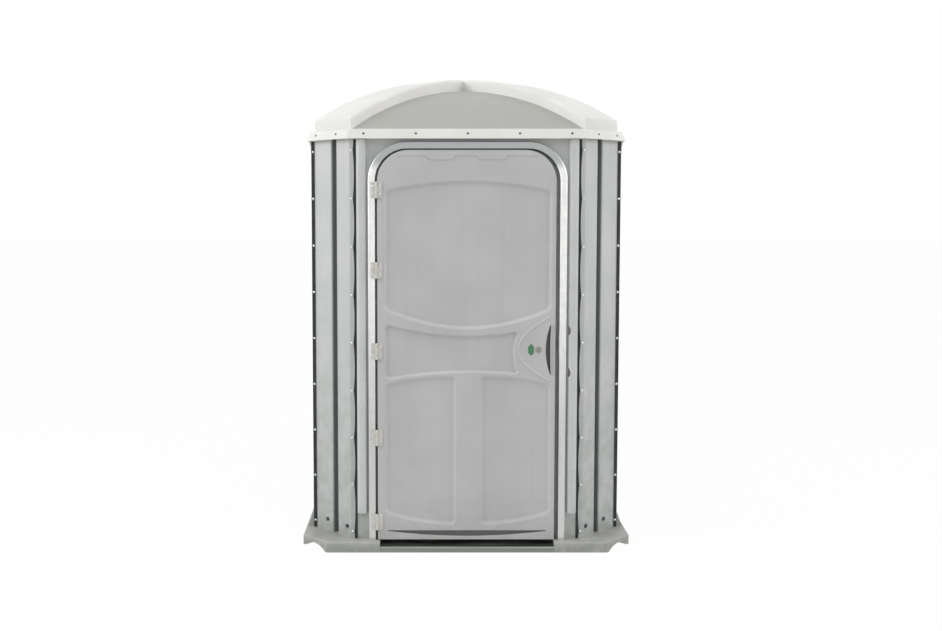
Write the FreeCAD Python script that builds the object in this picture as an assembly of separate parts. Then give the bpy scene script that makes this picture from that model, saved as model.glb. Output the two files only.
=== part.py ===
import FreeCAD, Part

# Portable toilet cabin with wide access, in millimetres. +Z is up and the door faces -Y.
# The origin is on the ground under the middle of the base.

import math
import os

from FreeCAD import Vector

# Base pan
base_half = 787.0
base_corner_cut = 125.0
lip_height = 50.0
lip_round = 10.0
floor_height = 25.0
floor_skin = 7.0
floor_edge_inset = 95.0
floor_corner_cut = 192.0
pocket_pitch = 232.0
pocket_size = 200.0
pocket_count = 5
lift_arch_width = 150.0
lift_arch_height = 27.0
lift_arch_depth = 70.0
skirt_top_reach = 26.0
skirt_height = 112.0
skirt_end_gap = 18.0
lug_width = 230.0
lug_thickness = 20.0
lug_height = 195.0

# Walls
wall_inset = 58.0
wall_corner_cut = 173.0
wall_sheet = 5.0
wall_bend = 4.0
wall_top = 1982.0
front_flange_lap = 26.5
side_fin_reach = 19.0
groove_width = 36.0
groove_depth = 28.0
groove_draft = 3.0
corner_groove_shift = 12.0
wall_groove_share = 0.3957
wall_groove_steps = (-1.5, -0.5, 0.5, 1.5)
wave_depth = 5.5
fin_flare = 9.0
fin_flare_height = 60.0
wall_clearance = 0.5
fin_strip = 1.5
fin_strip_inset = 1.0
fin_strip_corner_gap = 2.5
seal_strip = 2.5
seal_strip_gap = 0.3
strip_top_gap = 2.0

# Seam rivets, wall bolts and roof screws
rivet_radius = 6.0
rivet_shank = 2.4
rivet_dome = 3.0
rivet_count = 9
rivet_foot_gap = 34.0
rivet_top_gap = 90.0
rivet_inset = 11.0
bolt_head_radius = 9.0
bolt_head_height = 5.0
bolt_shank = 4.0
bolt_heights = (106.0, 108.0)
bolt_offsets = (104.0, -42.0)
roof_screw_radius = 5.5
roof_screw_head = 3.0
roof_screw_shank = 2.5
roof_screw_length = 34.0
roof_screw_drop = 15.0
roof_screw_shares = (-0.868, -0.433, 0.0, 0.433, 0.868)
roof_screw_chamfer_places = (-88.0, 60.0)

# Doorway, door frame and front posts
frame_width = 34.0
frame_post_gap = 8.0
frame_top_drop = 51.0
frame_corner = 185.0
frame_reach = 26.0
frame_depth = 40.0
frame_wall = 3.0
frame_edge_round = 6.0
post_width = 46.0
post_flange_gap = 10.5
post_bottom = 178.0
post_sheet = 3.0
post_bend = 15.0
post_notch_radius = 30.0
post_notch_depth = 12.0
post_notch_rises = (90.0, -109.0)

# Threshold
threshold_end_gap = 19.5
threshold_rise = 1.5
threshold_bar = 46.0
threshold_tail = 60.0
threshold_sheet = 3.0
threshold_nose = 6.0

# Door
door_hinge_gap = 10.0
door_latch_gap = 18.0
door_bottom = 52.0
door_top_gap = 5.0
door_thickness = 40.0
outer_skin = 14.0
inner_sheet = 3.0
inner_rim = 14.0
recess_depth = 11.0
recess_corner = 26.0
recess_hinge_margin = 37.0
recess_latch_margin = 24.0
upper_recess_top = (196.0, 149.0)
upper_recess_foot = (196.0, 104.0)
middle_recess_left = (127.0, -139.0)
middle_recess_middle = (72.0, -104.0)
middle_recess_right = (92.0, -10.0, -114.0)
middle_recess_reach = 84.0
middle_recess_bow = 26.0
lower_recess_top = (-133.0, -139.0, -171.0)
lower_recess_foot = (78.0, 88.0, 134.0)
lower_stile_half = 62.5
lower_stile_shift = 4.5
kick_groove_top = 96.0
kick_groove_margin = 31.0
kick_groove_drop = 26.0
kick_groove_depth = 8.0
inner_rib_width = 60.0
inner_rib_depth = 6.0
inner_rib_heights = (430.0, 1240.0)
inner_rib_margin = 90.0
seal_overlap = 30.0
seal_land = 24.0
seal_thickness = 4.0
seal_door_gap = 0.4

# Hinges
hinge_shares = (0.0476, 0.2668, 0.4897, 0.6963, 0.8995)
hinge_height = 74.0
hinge_leaf = 5.0
hinge_reach = 26.0
hinge_barrel = 6.0
hinge_axis_gap = 4.0
hinge_axis_rise = 7.0
hinge_pin = 2.5
hinge_fit = 0.06
hinge_knuckle_gap = 0.4
hinge_pin_head = 4.5
hinge_pin_head_height = 2.0
screw_radius = 4.0
screw_head = 1.5
screw_shank = 1.8
screw_length = 9.0

# Latch
spindle_edge_gap = 79.0
latch_height = 959.0
spindle_head = 14.0
spindle_proud = 3.0
spindle_shaft = 8.0
spindle_fit = 0.3
coin_slot_width = 3.0
coin_slot_depth = 4.0
coin_slot_length = 20.0
rack_pitch = 10.0
pinion_teeth = 12
tooth_height = 4.0
tooth_share = 0.34
tooth_taper = 0.6
bolt_travel = 30.0
bolt_width = 18.0
bolt_thickness = 10.0
bolt_start_reach = 66.0
bolt_fit = 0.4
window_reach = 35.0
window_width = 28.0
window_height = 57.0
window_pane = 3.0
disc_radius = 52.0
disc_inner = 14.0
disc_thickness = 2.0
disc_gap = 0.5
disc_overlap = 34.0
case_plate = 2.0
case_reach = 79.0
case_edge_gap = 15.0
lever_length = 105.0
lever_width = 22.0
lever_thickness = 9.0
lever_hub = 19.0
lever_gap = 1.0
grip_half_height = 121.0
grip_width = 43.0
grip_edge_gap = 4.0
grip_bar = 20.0
grip_bar_bow = 2400.0
grip_depth = 21.0
grip_floor = 2.0
grip_side_wall = 2.0
grip_end_wall = 6.0
strike_height = 90.0
strike_thickness = 1.5
strike_slot_gap = 3.0
pull_reach_across = 159.0
pull_height = 220.0
pull_reach = 45.0
pull_radius = 9.0
pull_foot = 16.0
pull_foot_thickness = 6.0

# Roof
roof_rise = 299.0
roof_skin = 5.0
roof_corner_gap = 11.0
rim_height = 43.0
rim_reach = 23.0
rim_flare = 15.0
shoulder_height = 57.0
rib_round = 14.0
rib_trim_gap = 1.0
rib_trim_inset = 5.0
vent_pipe_radius = 50.0
vent_pipe_wall = 4.0
vent_pipe_side_gap = 58.0
vent_pipe_back_gap = 123.0
vent_pipe_drop = 85.0
vent_cap_radius = 78.0
vent_cap_height = 60.0
vent_cap_skirt = 24.0
vent_cap_legs = 3
collar_width = 22.0
collar_rise = 34.0

# Wall vents
vent_margin = 15.0
vent_height = 260.0
vent_drop = 282.0
vent_border = 14.0
vent_flange = 3.0
vent_depth = 16.0
vent_slats = 8
vent_slat_thickness = 2.5
vent_slat_tilt = 40.0
vent_fit = 0.5

# Tank and seat
tank_side_gap = 165.0
tank_width = 600.0
tank_length = 548.0
tank_back_gap = 4.0
tank_top = 420.0
tank_skin = 5.0
tank_round = 30.0
tank_corner_cut = 105.0
tank_hole_half_x = 105.0
tank_hole_half_y = 135.0
tank_screw_radius = 6.0
tank_foot = 34.0
tank_foot_thickness = 6.0
seat_front_gap = 235.0
seat_half_x = 182.0
seat_half_y = 215.0
seat_hole_half_x = 108.0
seat_hole_half_y = 140.0
seat_thickness = 19.0
seat_gap = 0.3
seat_hinge_reach = 24.0
seat_hinge_rise = 14.0
seat_knuckle = 10.0
seat_pin = 6.0
seat_pin_half = 94.0
seat_open_angle = 95.0
lid_gap = 2.0
lid_thickness = 9.0
bracket_base = 4.0

# Grab bars
bar_radius = 16.0
bar_wall = 2.0
bar_reach = 66.0
bar_bend = 36.0
side_bar_height = 860.0
rear_bar_height = 900.0
side_bar_steps = (-2.0, 2.0)
rear_bar_steps = (-1.0, 2.0)
flange_radius = 38.0
flange_thickness = 5.0
flange_screw_ring = 27.0
flange_screws = 3

# Paper dispenser and coat hook
dispenser_half = 150.0
dispenser_depth = 124.0
dispenser_low = 480.0
dispenser_high = 640.0
dispenser_sheet = 3.0
dispenser_mouth = 36.0
cover_gap = 1.0
cover_front = 96.0
cover_pin = 3.0
cover_knuckle = 6.0
roll_radius = 50.0
roll_width = 110.0
roll_core = 20.0
roll_fit = 0.08
roll_rod_wall = 4.0
roll_drop = 14.0
hook_step = -1.0
hook_height = 1200.0
hook_plate_width = 30.0
hook_plate_height = 60.0
hook_plate_thickness = 4.0
hook_rod = 5.0
hook_reach = 45.0

# Derived places
tan_eighth = math.tan(math.radians(22.5))
root_two = math.sqrt(2.0)
base_flat_half = base_half - base_corner_cut
floor_edge_half = base_half - floor_edge_inset
floor_edge_flat_half = floor_edge_half - floor_corner_cut
wall_half = base_half - wall_inset
wall_flat_half = wall_half - wall_corner_cut
wall_inner = wall_half - wall_sheet
bump_face = wall_half - groove_depth - wall_sheet
flange_face = wall_half + wall_sheet
front_flange_edge = wall_flat_half - front_flange_lap
side_fin_edge = wall_half + side_fin_reach
wall_groove_pitch = wall_flat_half * wall_groove_share
wall_groove_places = [wall_groove_pitch * step for step in wall_groove_steps]
skirt_top_half = wall_half + skirt_top_reach
skirt_side_half_length = wall_flat_half - skirt_end_gap
rivet_low = lip_height + rivet_foot_gap
rivet_high = wall_top - rivet_top_gap
roof_screw_height = wall_top - roof_screw_drop
roof_screw_places = [wall_flat_half * share for share in roof_screw_shares]
rim_top = wall_top + roof_skin
rim_bottom = rim_top - rim_height
rim_top_half = wall_half + rim_reach
rim_bottom_half = rim_top_half + rim_flare
roof_top = rim_top + roof_rise
roof_flat_half = wall_flat_half - roof_corner_gap
rib_half_width = (wall_half - roof_flat_half) / root_two
rib_reach = (wall_half + roof_flat_half) / root_two
rib_rise = roof_rise - shoulder_height
rib_radius = (rib_reach * rib_reach + rib_rise * rib_rise) / (2.0 * rib_rise)
post_outer = front_flange_edge - post_flange_gap
post_inner = post_outer - post_width
frame_half = post_inner - frame_post_gap
frame_inner = frame_half - frame_width
frame_top = wall_top - frame_top_drop
frame_front = wall_half + frame_reach
frame_back = frame_front - frame_depth
post_front = frame_front
threshold_half = frame_inner - threshold_end_gap
threshold_top = floor_height + threshold_rise
door_left = -(frame_inner - door_hinge_gap)
door_right = frame_inner - door_latch_gap
door_top = frame_top - frame_width - door_top_gap
door_back = frame_front - door_thickness
skin_back = frame_front - outer_skin
tray_face = door_back + inner_sheet
kick_groove_half = door_right - kick_groove_margin
recess_left = door_left + recess_hinge_margin
recess_right = door_right - recess_latch_margin
hinge_heights = [door_bottom + (door_top - door_bottom) * share for share in hinge_shares]
hinge_axis_x = door_left - hinge_axis_gap
leaf_face = frame_front + hinge_leaf
spindle_x = door_right - spindle_edge_gap
window_x = spindle_x - window_reach
grip_right = door_right - grip_edge_gap
grip_left = grip_right - grip_width
case_left = spindle_x - case_reach
case_right = door_right - case_edge_gap
bolt_start = spindle_x - bolt_start_reach
pull_x = spindle_x - pull_reach_across
pinion_radius = pinion_teeth * rack_pitch / (2.0 * math.pi)
bolt_low = latch_height + pinion_radius + tooth_height / 2.0
bolt_mid_y = -(tray_face + case_plate + bolt_fit + bolt_thickness / 2.0)
vent_places = (-wall_groove_pitch, wall_groove_pitch)
vent_width = wall_groove_pitch - groove_width - 2.0 * vent_margin
vent_centre = wall_top - vent_drop
tank_left = -(wall_half - tank_side_gap)
tank_right = tank_left + tank_width
tank_back = bump_face - tank_back_gap
tank_front = tank_back - tank_length
seat_x = (tank_left + tank_right) / 2.0
seat_centre_y = tank_front + seat_front_gap
seat_hinge_y = seat_centre_y + seat_half_y + seat_hinge_reach
seat_hinge_z = tank_top + seat_hinge_rise
vent_pipe_x = tank_left + vent_pipe_side_gap
vent_pipe_y = tank_back - vent_pipe_back_gap
vent_pipe_top = roof_top - vent_pipe_drop
side_bar_ends = [wall_groove_pitch * step for step in side_bar_steps]
rear_bar_ends = [wall_groove_pitch * step for step in rear_bar_steps]
hook_place_y = wall_groove_pitch * hook_step


def box(x_range, y_range, z_range):
    """Block between two values on each axis, given in any order."""
    low = Vector(min(x_range), min(y_range), min(z_range))
    high = Vector(max(x_range), max(y_range), max(z_range))
    size = high - low
    return Part.makeBox(size.x, size.y, size.z, low)


def rod(radius, start, end):
    """Cylinder between the centres of its two ends."""
    along = end - start
    return Part.makeCylinder(radius, along.Length, start, along)


def fuse(shapes):
    """One solid made of shapes that touch or overlap."""
    shapes = list(shapes)
    return shapes[0].fuse(shapes[1:]).removeSplitter() if len(shapes) > 1 else shapes[0]


def group(shapes):
    """Separate solids kept together in one node."""
    return Part.makeCompound([solid for shape in shapes for solid in shape.Solids])


def polygon_face(points):
    """Flat face through points, which are closed here."""
    return Part.Face(Part.makePolygon(points + [points[0]]))


def prism(plan, z_low, z_high):
    """Upright solid over a closed plan outline of (x, y) points."""
    face = polygon_face([Vector(x, y, z_low) for x, y in plan])
    return face.extrude(Vector(0, 0, z_high - z_low))


def octagon(half, flat_half):
    """Plan of a square with cut corners, anticlockwise from the right front."""
    corner = [(flat_half, -half), (half, -flat_half)]
    quarter_turns = range(4)
    return [turned(point, 90.0 * turn) for turn in quarter_turns for point in corner]


def turned(point, degrees):
    """An (x, y) point turned about the origin."""
    angle = math.radians(degrees)
    x, y = point
    return (x * math.cos(angle) - y * math.sin(angle), x * math.sin(angle) + y * math.cos(angle))


def spun(shape, degrees):
    """A copy of the shape turned about the vertical axis."""
    return shape.copy().rotated(Vector(0, 0, 0), Vector(0, 0, 1), degrees)


def mirrored_x(shape):
    """The shape's mirror image across the cabin's middle, left to right."""
    return shape.mirror(Vector(0, 0, 0), Vector(1, 0, 0))


def mirrored_y(shape):
    """The shape's mirror image across the cabin's middle, front to back."""
    return shape.mirror(Vector(0, 0, 0), Vector(0, 1, 0))


def offset_path(path, distance):
    """The path moved to its left by the distance, with mitred corners."""
    moved = []
    for index, point in enumerate(path):
        before = path[max(index - 1, 0)]
        after = path[min(index + 1, len(path) - 1)]
        first = (point - before) if index else (after - point)
        second = (after - point) if index < len(path) - 1 else first
        left_one = Vector(-first.y, first.x, 0).normalize()
        left_two = Vector(-second.y, second.x, 0).normalize()
        middle = left_one + left_two
        moved.append(point + middle * (2.0 * distance / middle.dot(middle)))
    return moved


def rounded_edges(path, radius_at):
    """Lines and tangent arcs along a path, with radius_at giving each corner's radius."""
    edges = []
    start = path[0]
    for index in range(1, len(path) - 1):
        corner = path[index]
        back = (path[index - 1] - corner).normalize()
        ahead = (path[index + 1] - corner).normalize()
        radius = radius_at(index)
        half_open = back.getAngle(ahead) / 2.0
        reach = radius / math.tan(half_open)
        bisector = (back + ahead).normalize()
        centre = corner + bisector * (radius / math.sin(half_open))
        enter = corner + back * reach
        leave = corner + ahead * reach
        edges.append(Part.LineSegment(start, enter).toShape())
        edges.append(Part.Arc(enter, centre - bisector * radius, leave).toShape())
        start = leave
    edges.append(Part.LineSegment(start, path[-1]).toShape())
    return edges


def bent_sheet(points, thickness, bend, z_low, z_high):
    """Upright sheet along a plan path, thickened to the path's left, with rounded bends."""
    path = [Vector(x, y, z_low) for x, y in points]
    inner = offset_path(path, thickness)

    def turns_left(index):
        first = path[index] - path[index - 1]
        second = path[index + 1] - path[index]
        return first.x * second.y - first.y * second.x > 0

    outer_edges = rounded_edges(path, lambda index: bend + thickness if turns_left(index) else bend)
    inner_edges = rounded_edges(inner, lambda index: bend if turns_left(index) else bend + thickness)
    caps = [Part.LineSegment(path[0], inner[0]).toShape(), Part.LineSegment(path[-1], inner[-1]).toShape()]
    wire = Part.Wire(Part.__sortEdges__(outer_edges + inner_edges + caps))
    return Part.Face(wire).extrude(Vector(0, 0, z_high - z_low))


def grooved(start, end, places):
    """Plan points from start to end, stepping left into a groove at each place along the way."""
    start = Vector(start[0], start[1], 0)
    end = Vector(end[0], end[1], 0)
    along = (end - start).normalize()
    inward = Vector(-along.y, along.x, 0)
    middle = (start + end) * 0.5
    points = [start]
    for place in places:
        centre = middle + along * place
        half = groove_width / 2.0
        floor_half = half - groove_draft
        points.append(centre - along * half)
        points.append(centre - along * floor_half + inward * groove_depth)
        points.append(centre + along * floor_half + inward * groove_depth)
        points.append(centre + along * half)
    points.append(end)
    return [(point.x, point.y) for point in points]


def dome(radius, height, foot, outward):
    """Rivet or screw head: a low round cap standing on a surface."""
    ball = (radius * radius + height * height) / (2.0 * height)
    sphere = Part.makeSphere(ball, foot - outward * (ball - height))
    cup = rod(radius * 1.2, foot, foot + outward * (height * 1.2))
    return sphere.common(cup)


def fastener(head, height, shank, length, foot, outward):
    """Domed head on a surface, with its shank going in."""
    return fuse([dome(head, height, foot, outward), rod(shank, foot - outward * length,
                                                        foot + outward * height / 2)])


def tube(radius, wall, path, bend):
    """Round tube along a path of straight runs and equal bends."""
    wire = Part.Wire(Part.__sortEdges__(rounded_edges(path, lambda index: bend)))
    along = path[1] - path[0]

    def solid(size):
        ring = Part.Wire(Part.makeCircle(size, path[0], along))
        return wire.makePipeShell([ring], True, False)

    return solid(radius).cut(solid(radius - wall))


def rivet_heights():
    """Heights of the rivets in one seam, evenly spaced."""
    step = (rivet_high - rivet_low) / (rivet_count - 1)
    return [rivet_low + step * index for index in range(rivet_count)]


def chamfer_point(along, outward):
    """Point on the left front corner panel: along it from its middle, and out from its face."""
    middle = Vector(-(wall_half + wall_flat_half) / 2.0, -(wall_half + wall_flat_half) / 2.0, 0)
    step = Vector(1, -1, 0).normalize() * along
    out = Vector(-1, -1, 0).normalize() * outward
    return middle + step + out


# Base


def base_pan():
    pan = prism(octagon(base_half, base_flat_half), 0, lip_height)
    top_edges = [edge for edge in pan.Edges if all(abs(v.Z - lip_height) < 0.01 for v in edge.Vertexes)]
    pan = pan.makeFillet(lip_round, top_edges)
    recess = prism(octagon(floor_edge_half, floor_edge_flat_half), floor_height, lip_height + 1)
    doorway = box((-threshold_half - wall_clearance, threshold_half + wall_clearance),
                  (-base_half - 1, -base_half + threshold_bar + wall_clearance), (-1, lip_height + 1))
    passage = box((-threshold_half - wall_clearance, threshold_half + wall_clearance),
                  (-base_half - 1, -floor_edge_half + 1), (floor_height, lip_height + 1))
    pan = pan.cut([recess, doorway, passage] + underside_pockets() + lift_arches())
    return fuse([pan] + base_skirts() + base_lugs())


def underside_pockets():
    first = -(pocket_count - 1) / 2.0 * pocket_pitch
    places = [first + pocket_pitch * index for index in range(pocket_count)]
    half = pocket_size / 2.0
    depth = floor_height - floor_skin
    return [box((x - half, x + half), (y - half, y + half), (-1, depth)) for x in places for y in places]


def lift_arches():
    """Arched hand and strap cut-outs under the lip of each cut corner."""
    radius = ((lift_arch_width / 2.0) ** 2 + lift_arch_height ** 2) / (2.0 * lift_arch_height)
    reach = (base_half + base_flat_half) / root_two
    out = Vector(-1, -1, 0).normalize()
    centre_height = Vector(0, 0, lift_arch_height - radius)
    arch = rod(radius, out * (reach - lift_arch_depth) + centre_height, out * (reach + 5) + centre_height)
    return [spun(arch, 90.0 * turn) for turn in range(4)]


def base_skirts():
    """Sloping upstands that close the foot of the side and rear walls."""
    foot = wall_half + wall_clearance
    outline = [(foot, lip_height - 1), (base_half - lip_round, lip_height - 1),
               (base_half - lip_round, lip_height), (skirt_top_half, skirt_height), (foot, skirt_height)]
    face = polygon_face([Vector(x, -skirt_side_half_length, z) for x, z in outline])
    side = face.extrude(Vector(0, 2 * skirt_side_half_length, 0))
    rear_half = post_outer
    rear_face = polygon_face([Vector(x, -rear_half, z) for x, z in outline])
    rear = rear_face.extrude(Vector(0, 2 * rear_half, 0))
    return [side, spun(side, 180), spun(rear, 90)]


def base_lugs():
    """Upstands inside the corners that the wall bolts screw into."""
    face = -(groove_depth + wall_sheet + wall_clearance)
    corners = [chamfer_point(-lug_width / 2, face), chamfer_point(lug_width / 2, face),
               chamfer_point(lug_width / 2, face - lug_thickness),
               chamfer_point(-lug_width / 2, face - lug_thickness)]
    lug = prism([(p.x, p.y) for p in corners], floor_height, lug_height)
    return four_corners([lug.cut(bolt_shanks())])


def threshold_plate():
    """Aluminium sill: a nosed bar across the doorway with a tail on the floor."""
    front = -base_half
    back = front + threshold_bar
    top = threshold_top
    sheet = threshold_sheet
    outline = [(front, 0), (front, top - threshold_nose), (front + threshold_nose, top),
               (back + threshold_tail, top), (back + threshold_tail, floor_height), (back, floor_height),
               (back, 0), (back - sheet, 0), (back - sheet, top - sheet),
               (front + threshold_nose, top - sheet),
               (front + sheet, top - threshold_nose), (front + sheet, 0)]
    face = polygon_face([Vector(-threshold_half, y, z) for y, z in outline])
    plate = face.extrude(Vector(2 * threshold_half, 0, 0))
    return plate.cut(threshold_screw_set())


def threshold_screw_set():
    foot_y = -base_half + threshold_bar + threshold_tail / 2.0
    places = [-0.75, -0.25, 0.25, 0.75]
    up = Vector(0, 0, 1)
    return [fastener(screw_radius, screw_head, screw_shank, screw_length,
                     Vector(share * threshold_half, foot_y, threshold_top), up) for share in places]


# Walls


def corner_panel():
    """Left front corner panel with its ribs, front flange and side fin."""
    start = (-wall_half, -wall_flat_half)
    end = (-wall_flat_half + wall_sheet, -flange_face)
    path = [(-side_fin_edge, -wall_flat_half)] + grooved(start, end, [corner_groove_shift])
    path.append((-front_flange_edge, -flange_face))
    panel = bent_sheet(path, wall_sheet, wall_bend, lip_height, wall_top)
    fin_cut = box((-side_fin_edge - 1, -wall_half - wall_bend),
                  (-wall_flat_half - 1, -wall_flat_half + wall_sheet + 1),
                  (rim_bottom - 1, wall_top + 1))
    panel = panel.cut(fin_cut)
    panel = fuse([panel, fin_flare_piece()])
    return panel.cut([flange_waves()] + corner_rivets() + bolt_shanks() + chamfer_roof_screws())


def fin_flare_piece():
    """Outward sweep of the fin's edge just under the roof rim."""
    top = rim_bottom - 1
    outline = [(-side_fin_edge + 2, top - fin_flare_height), (-side_fin_edge, top - fin_flare_height),
               (-side_fin_edge - fin_flare / 4, top - fin_flare_height / 2),
               (-side_fin_edge - fin_flare, top), (-side_fin_edge + 2, top)]
    face = polygon_face([Vector(x, -wall_flat_half, z) for x, z in outline])
    return face.extrude(Vector(0, wall_sheet, 0))


def wave_rods(extra):
    """Rods in line with the front flange whose sides shape its bulges, one between each two rivets."""
    heights = rivet_heights()
    step = heights[1] - heights[0]
    radius = ((step / 2.0) ** 2 + wave_depth ** 2) / (2.0 * wave_depth)
    rods = []
    for height in [heights[0] - step] + heights:
        x, z = -front_flange_edge - radius, height + step / 2.0
        rods.append(rod(radius + extra, Vector(x, -flange_face - 1, z), Vector(x, -wall_half + 1, z)))
    return rods


def flange_waves():
    """What is cut off the front flange's edge, so it draws back at each rivet."""
    reach = box((-front_flange_edge - wave_depth, -front_flange_edge + 1), (-flange_face - 1, -wall_half),
                (lip_height - 1, wall_top + 1))
    return reach.cut(wave_rods(0.0))


def corner_strips():
    """Rubber strips of the left front corner: one under the fin's rivets, one along the flange's edge."""
    top = rim_bottom - strip_top_gap
    under_rivets = box((-side_fin_edge + fin_strip_inset, -wall_half - fin_strip_corner_gap),
                       (-wall_flat_half - fin_strip, -wall_flat_half), (lip_height, top))
    along_edge = box((-front_flange_edge - wave_depth + seal_strip_gap, -post_outer - wall_clearance),
                     (-wall_half - seal_strip, -wall_half), (lip_height, top))
    return [under_rivets.cut(corner_rivets()), along_edge.cut(wave_rods(seal_strip_gap))]


def corner_rivets():
    """Rivets of the left front corner: one seam faces the front, the other is in the fin."""
    front_x = -front_flange_edge - wave_depth - rivet_inset + wall_bend
    fin_x = -(side_fin_edge + wall_half) / 2.0
    ahead = Vector(0, -1, 0)
    length = 2 * wall_sheet + fin_strip
    rivets = []
    for height in rivet_heights():
        for foot in (Vector(front_x, -flange_face, height),
                     Vector(fin_x, -wall_flat_half - fin_strip, height)):
            rivets.append(fastener(rivet_radius, rivet_dome, rivet_shank, length, foot, ahead))
    return rivets


def bolt_shanks():
    """Bolts that hold the left front corner panel to the base lug."""
    outward = Vector(-1, -1, 0).normalize()
    length = groove_depth + wall_sheet + lug_thickness
    bolts = []
    for height, along in zip(bolt_heights, bolt_offsets):
        foot = chamfer_point(along, 0) + Vector(0, 0, height)
        head = rod(bolt_head_radius, foot, foot + outward * bolt_head_height)
        shank = rod(bolt_shank, foot - outward * length, foot + outward)
        bolts.append(fuse([head, shank]))
    return bolts


def four_corners(shapes):
    """Copies of the left front corner's pieces in all four corners."""
    copies = []
    for shape in shapes:
        left_rear = mirrored_y(shape)
        copies += [shape, mirrored_x(shape), left_rear, mirrored_x(left_rear)]
    return copies


def front_panel():
    """Flat front wall with the doorway cut out to the frame's outline."""
    edge = wall_flat_half - 2 * wall_sheet
    panel = box((-edge, edge), (-wall_half, -wall_inner), (lip_height, wall_top))
    doorway = arched_block(frame_half, frame_top, frame_corner, -wall_half - 1, -wall_inner + 1,
                           lip_height - 1)
    return panel.cut([doorway] + four_corners(corner_rivets()) + straight_roof_screws())


def arched_block(half, top, corner, y_low, y_high, z_low, left=None):
    """Upright block with its two upper corners rounded, between two depths."""
    left_edge = -half if left is None else left
    block = box((left_edge, half), (y_low, y_high), (z_low, top))
    upper = [edge for edge in block.Edges
             if all(abs(v.Z - top) < 0.01 for v in edge.Vertexes) and abs(edge.tangentAt(0).y) > 0.9]
    return block.makeFillet(corner, upper)


def side_wall_blank():
    """Left side wall: vertical grooves, with a fin at each end behind the corner panels' fins."""
    end = wall_flat_half - 2 * wall_sheet
    body = grooved((-wall_half, end), (-wall_half, -end), wall_groove_places)
    path = [(-side_fin_edge, end)] + body + [(-side_fin_edge, -end)]
    wall = bent_sheet(path, wall_sheet, wall_bend, lip_height, wall_top)
    fin_tops = [box((-side_fin_edge - 1, -wall_half - wall_bend),
                    (sign * (end - 1), sign * (end + wall_sheet + 1)),
                    (rim_bottom - 1, wall_top + 1)) for sign in (-1, 1)]
    return wall.cut(fin_tops)


def drilled_wall(blank, vent_turn):
    """A wall with its rivet, screw and vent holes."""
    tools = four_corners(corner_rivets()) + straight_roof_screws() + vent_holes(vent_turn) + wall_fixings()
    return blank.cut(tools)


def rear_wall_blank():
    """Rear wall: vertical grooves, with its edges under the rear corner panels' flanges."""
    edge = wall_flat_half - 2 * wall_sheet
    path = grooved((edge, wall_half), (-edge, wall_half), wall_groove_places)
    return bent_sheet(path, wall_sheet, wall_bend, lip_height, wall_top)


# Roof


def rib_bar(inset):
    """One rib across the roof along X with rounded upper edges, made smaller by the inset all round."""
    reach = rib_reach - inset
    half = rib_half_width - inset
    crown = roof_top - inset
    foot = rim_top + shoulder_height - inset
    low = rim_bottom - roof_skin
    start, end = Vector(-reach, -half, foot), Vector(reach, -half, foot)
    low_start, low_end = Vector(-reach, -half, low), Vector(reach, -half, low)
    arc = Part.Arc(start, Vector(0, -half, crown), end).toShape()
    sides = [Part.LineSegment(end, low_end).toShape(), Part.LineSegment(low_end, low_start).toShape(),
             Part.LineSegment(low_start, start).toShape()]
    bar = Part.Face(Part.Wire([arc] + sides)).extrude(Vector(0, 2 * half, 0))
    tops = [edge for edge in bar.Edges if isinstance(edge.Curve, Part.Circle)]
    return bar.makeFillet(rib_round - inset, tops)


def rib_height(distance, lower):
    """Height of a rib's top at a distance from the centre along the diagonal."""
    return roof_top - rib_radius + math.sqrt(rib_radius * rib_radius - distance * distance) - lower


def segment_height(place, lower):
    """Height of a recessed roof segment at a distance from the centre towards its wall."""
    distance = max(place * root_two - rib_half_width, 0.0)
    return rib_height(distance, lower + shoulder_height)


def rib_trims(inset):
    """Spaces over the outer half of each rib, where the vault would stand above the rib's top."""
    half = rib_half_width - rib_trim_inset
    block = box((rib_reach / 2.0, rib_reach + roof_skin), (-half, half), (rim_top, roof_top))
    centre_height = roof_top - inset - rib_radius
    under = rod(rib_radius - rib_trim_gap, Vector(0, -half - 1, centre_height),
                Vector(0, half + 1, centre_height))
    over = block.cut(under)
    return [spun(over, 45.0 + 90.0 * turn) for turn in range(4)]


def roof_vault(half, lower):
    """Solid under the four recessed segments, which keep the ribs' curve."""
    low = rim_bottom - roof_skin
    flat = rib_half_width / root_two

    def arch(direction):
        start = Vector(half, -half, segment_height(half, lower))
        mid_place = (half + flat) / 2.0
        crown = Vector(flat, -half, segment_height(flat, lower))
        middle = Vector(mid_place, -half, segment_height(mid_place, lower))
        other = [Vector(-v.x, v.y, v.z) for v in (crown, middle, start)]
        right = Part.Arc(start, middle, crown).toShape()
        top = Part.LineSegment(crown, other[0]).toShape()
        left = Part.Arc(other[0], other[1], other[2]).toShape()
        feet = [Vector(-half, -half, low), Vector(half, -half, low)]
        sides = [Part.LineSegment(other[2], feet[0]).toShape(), Part.LineSegment(feet[0], feet[1]).toShape(),
                 Part.LineSegment(feet[1], start).toShape()]
        face = Part.Face(Part.Wire([right, top, left] + sides))
        return spun(face.extrude(Vector(0, 2 * half, 0)), direction)

    return arch(0).common(arch(90))


def roof_body(inset):
    """Roof block down to the wall tops, made smaller by the inset all round."""
    bar = rib_bar(inset)
    half = wall_half - inset
    flat_half = roof_flat_half - inset * tan_eighth
    plan = prism(octagon(half, flat_half), wall_top - 4 * inset, roof_top + 10)
    vault = roof_vault(wall_half, inset).cut(rib_trims(inset))
    body = fuse([vault, spun(bar, 45), spun(bar, -45)])
    return body.common(plan)


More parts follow.
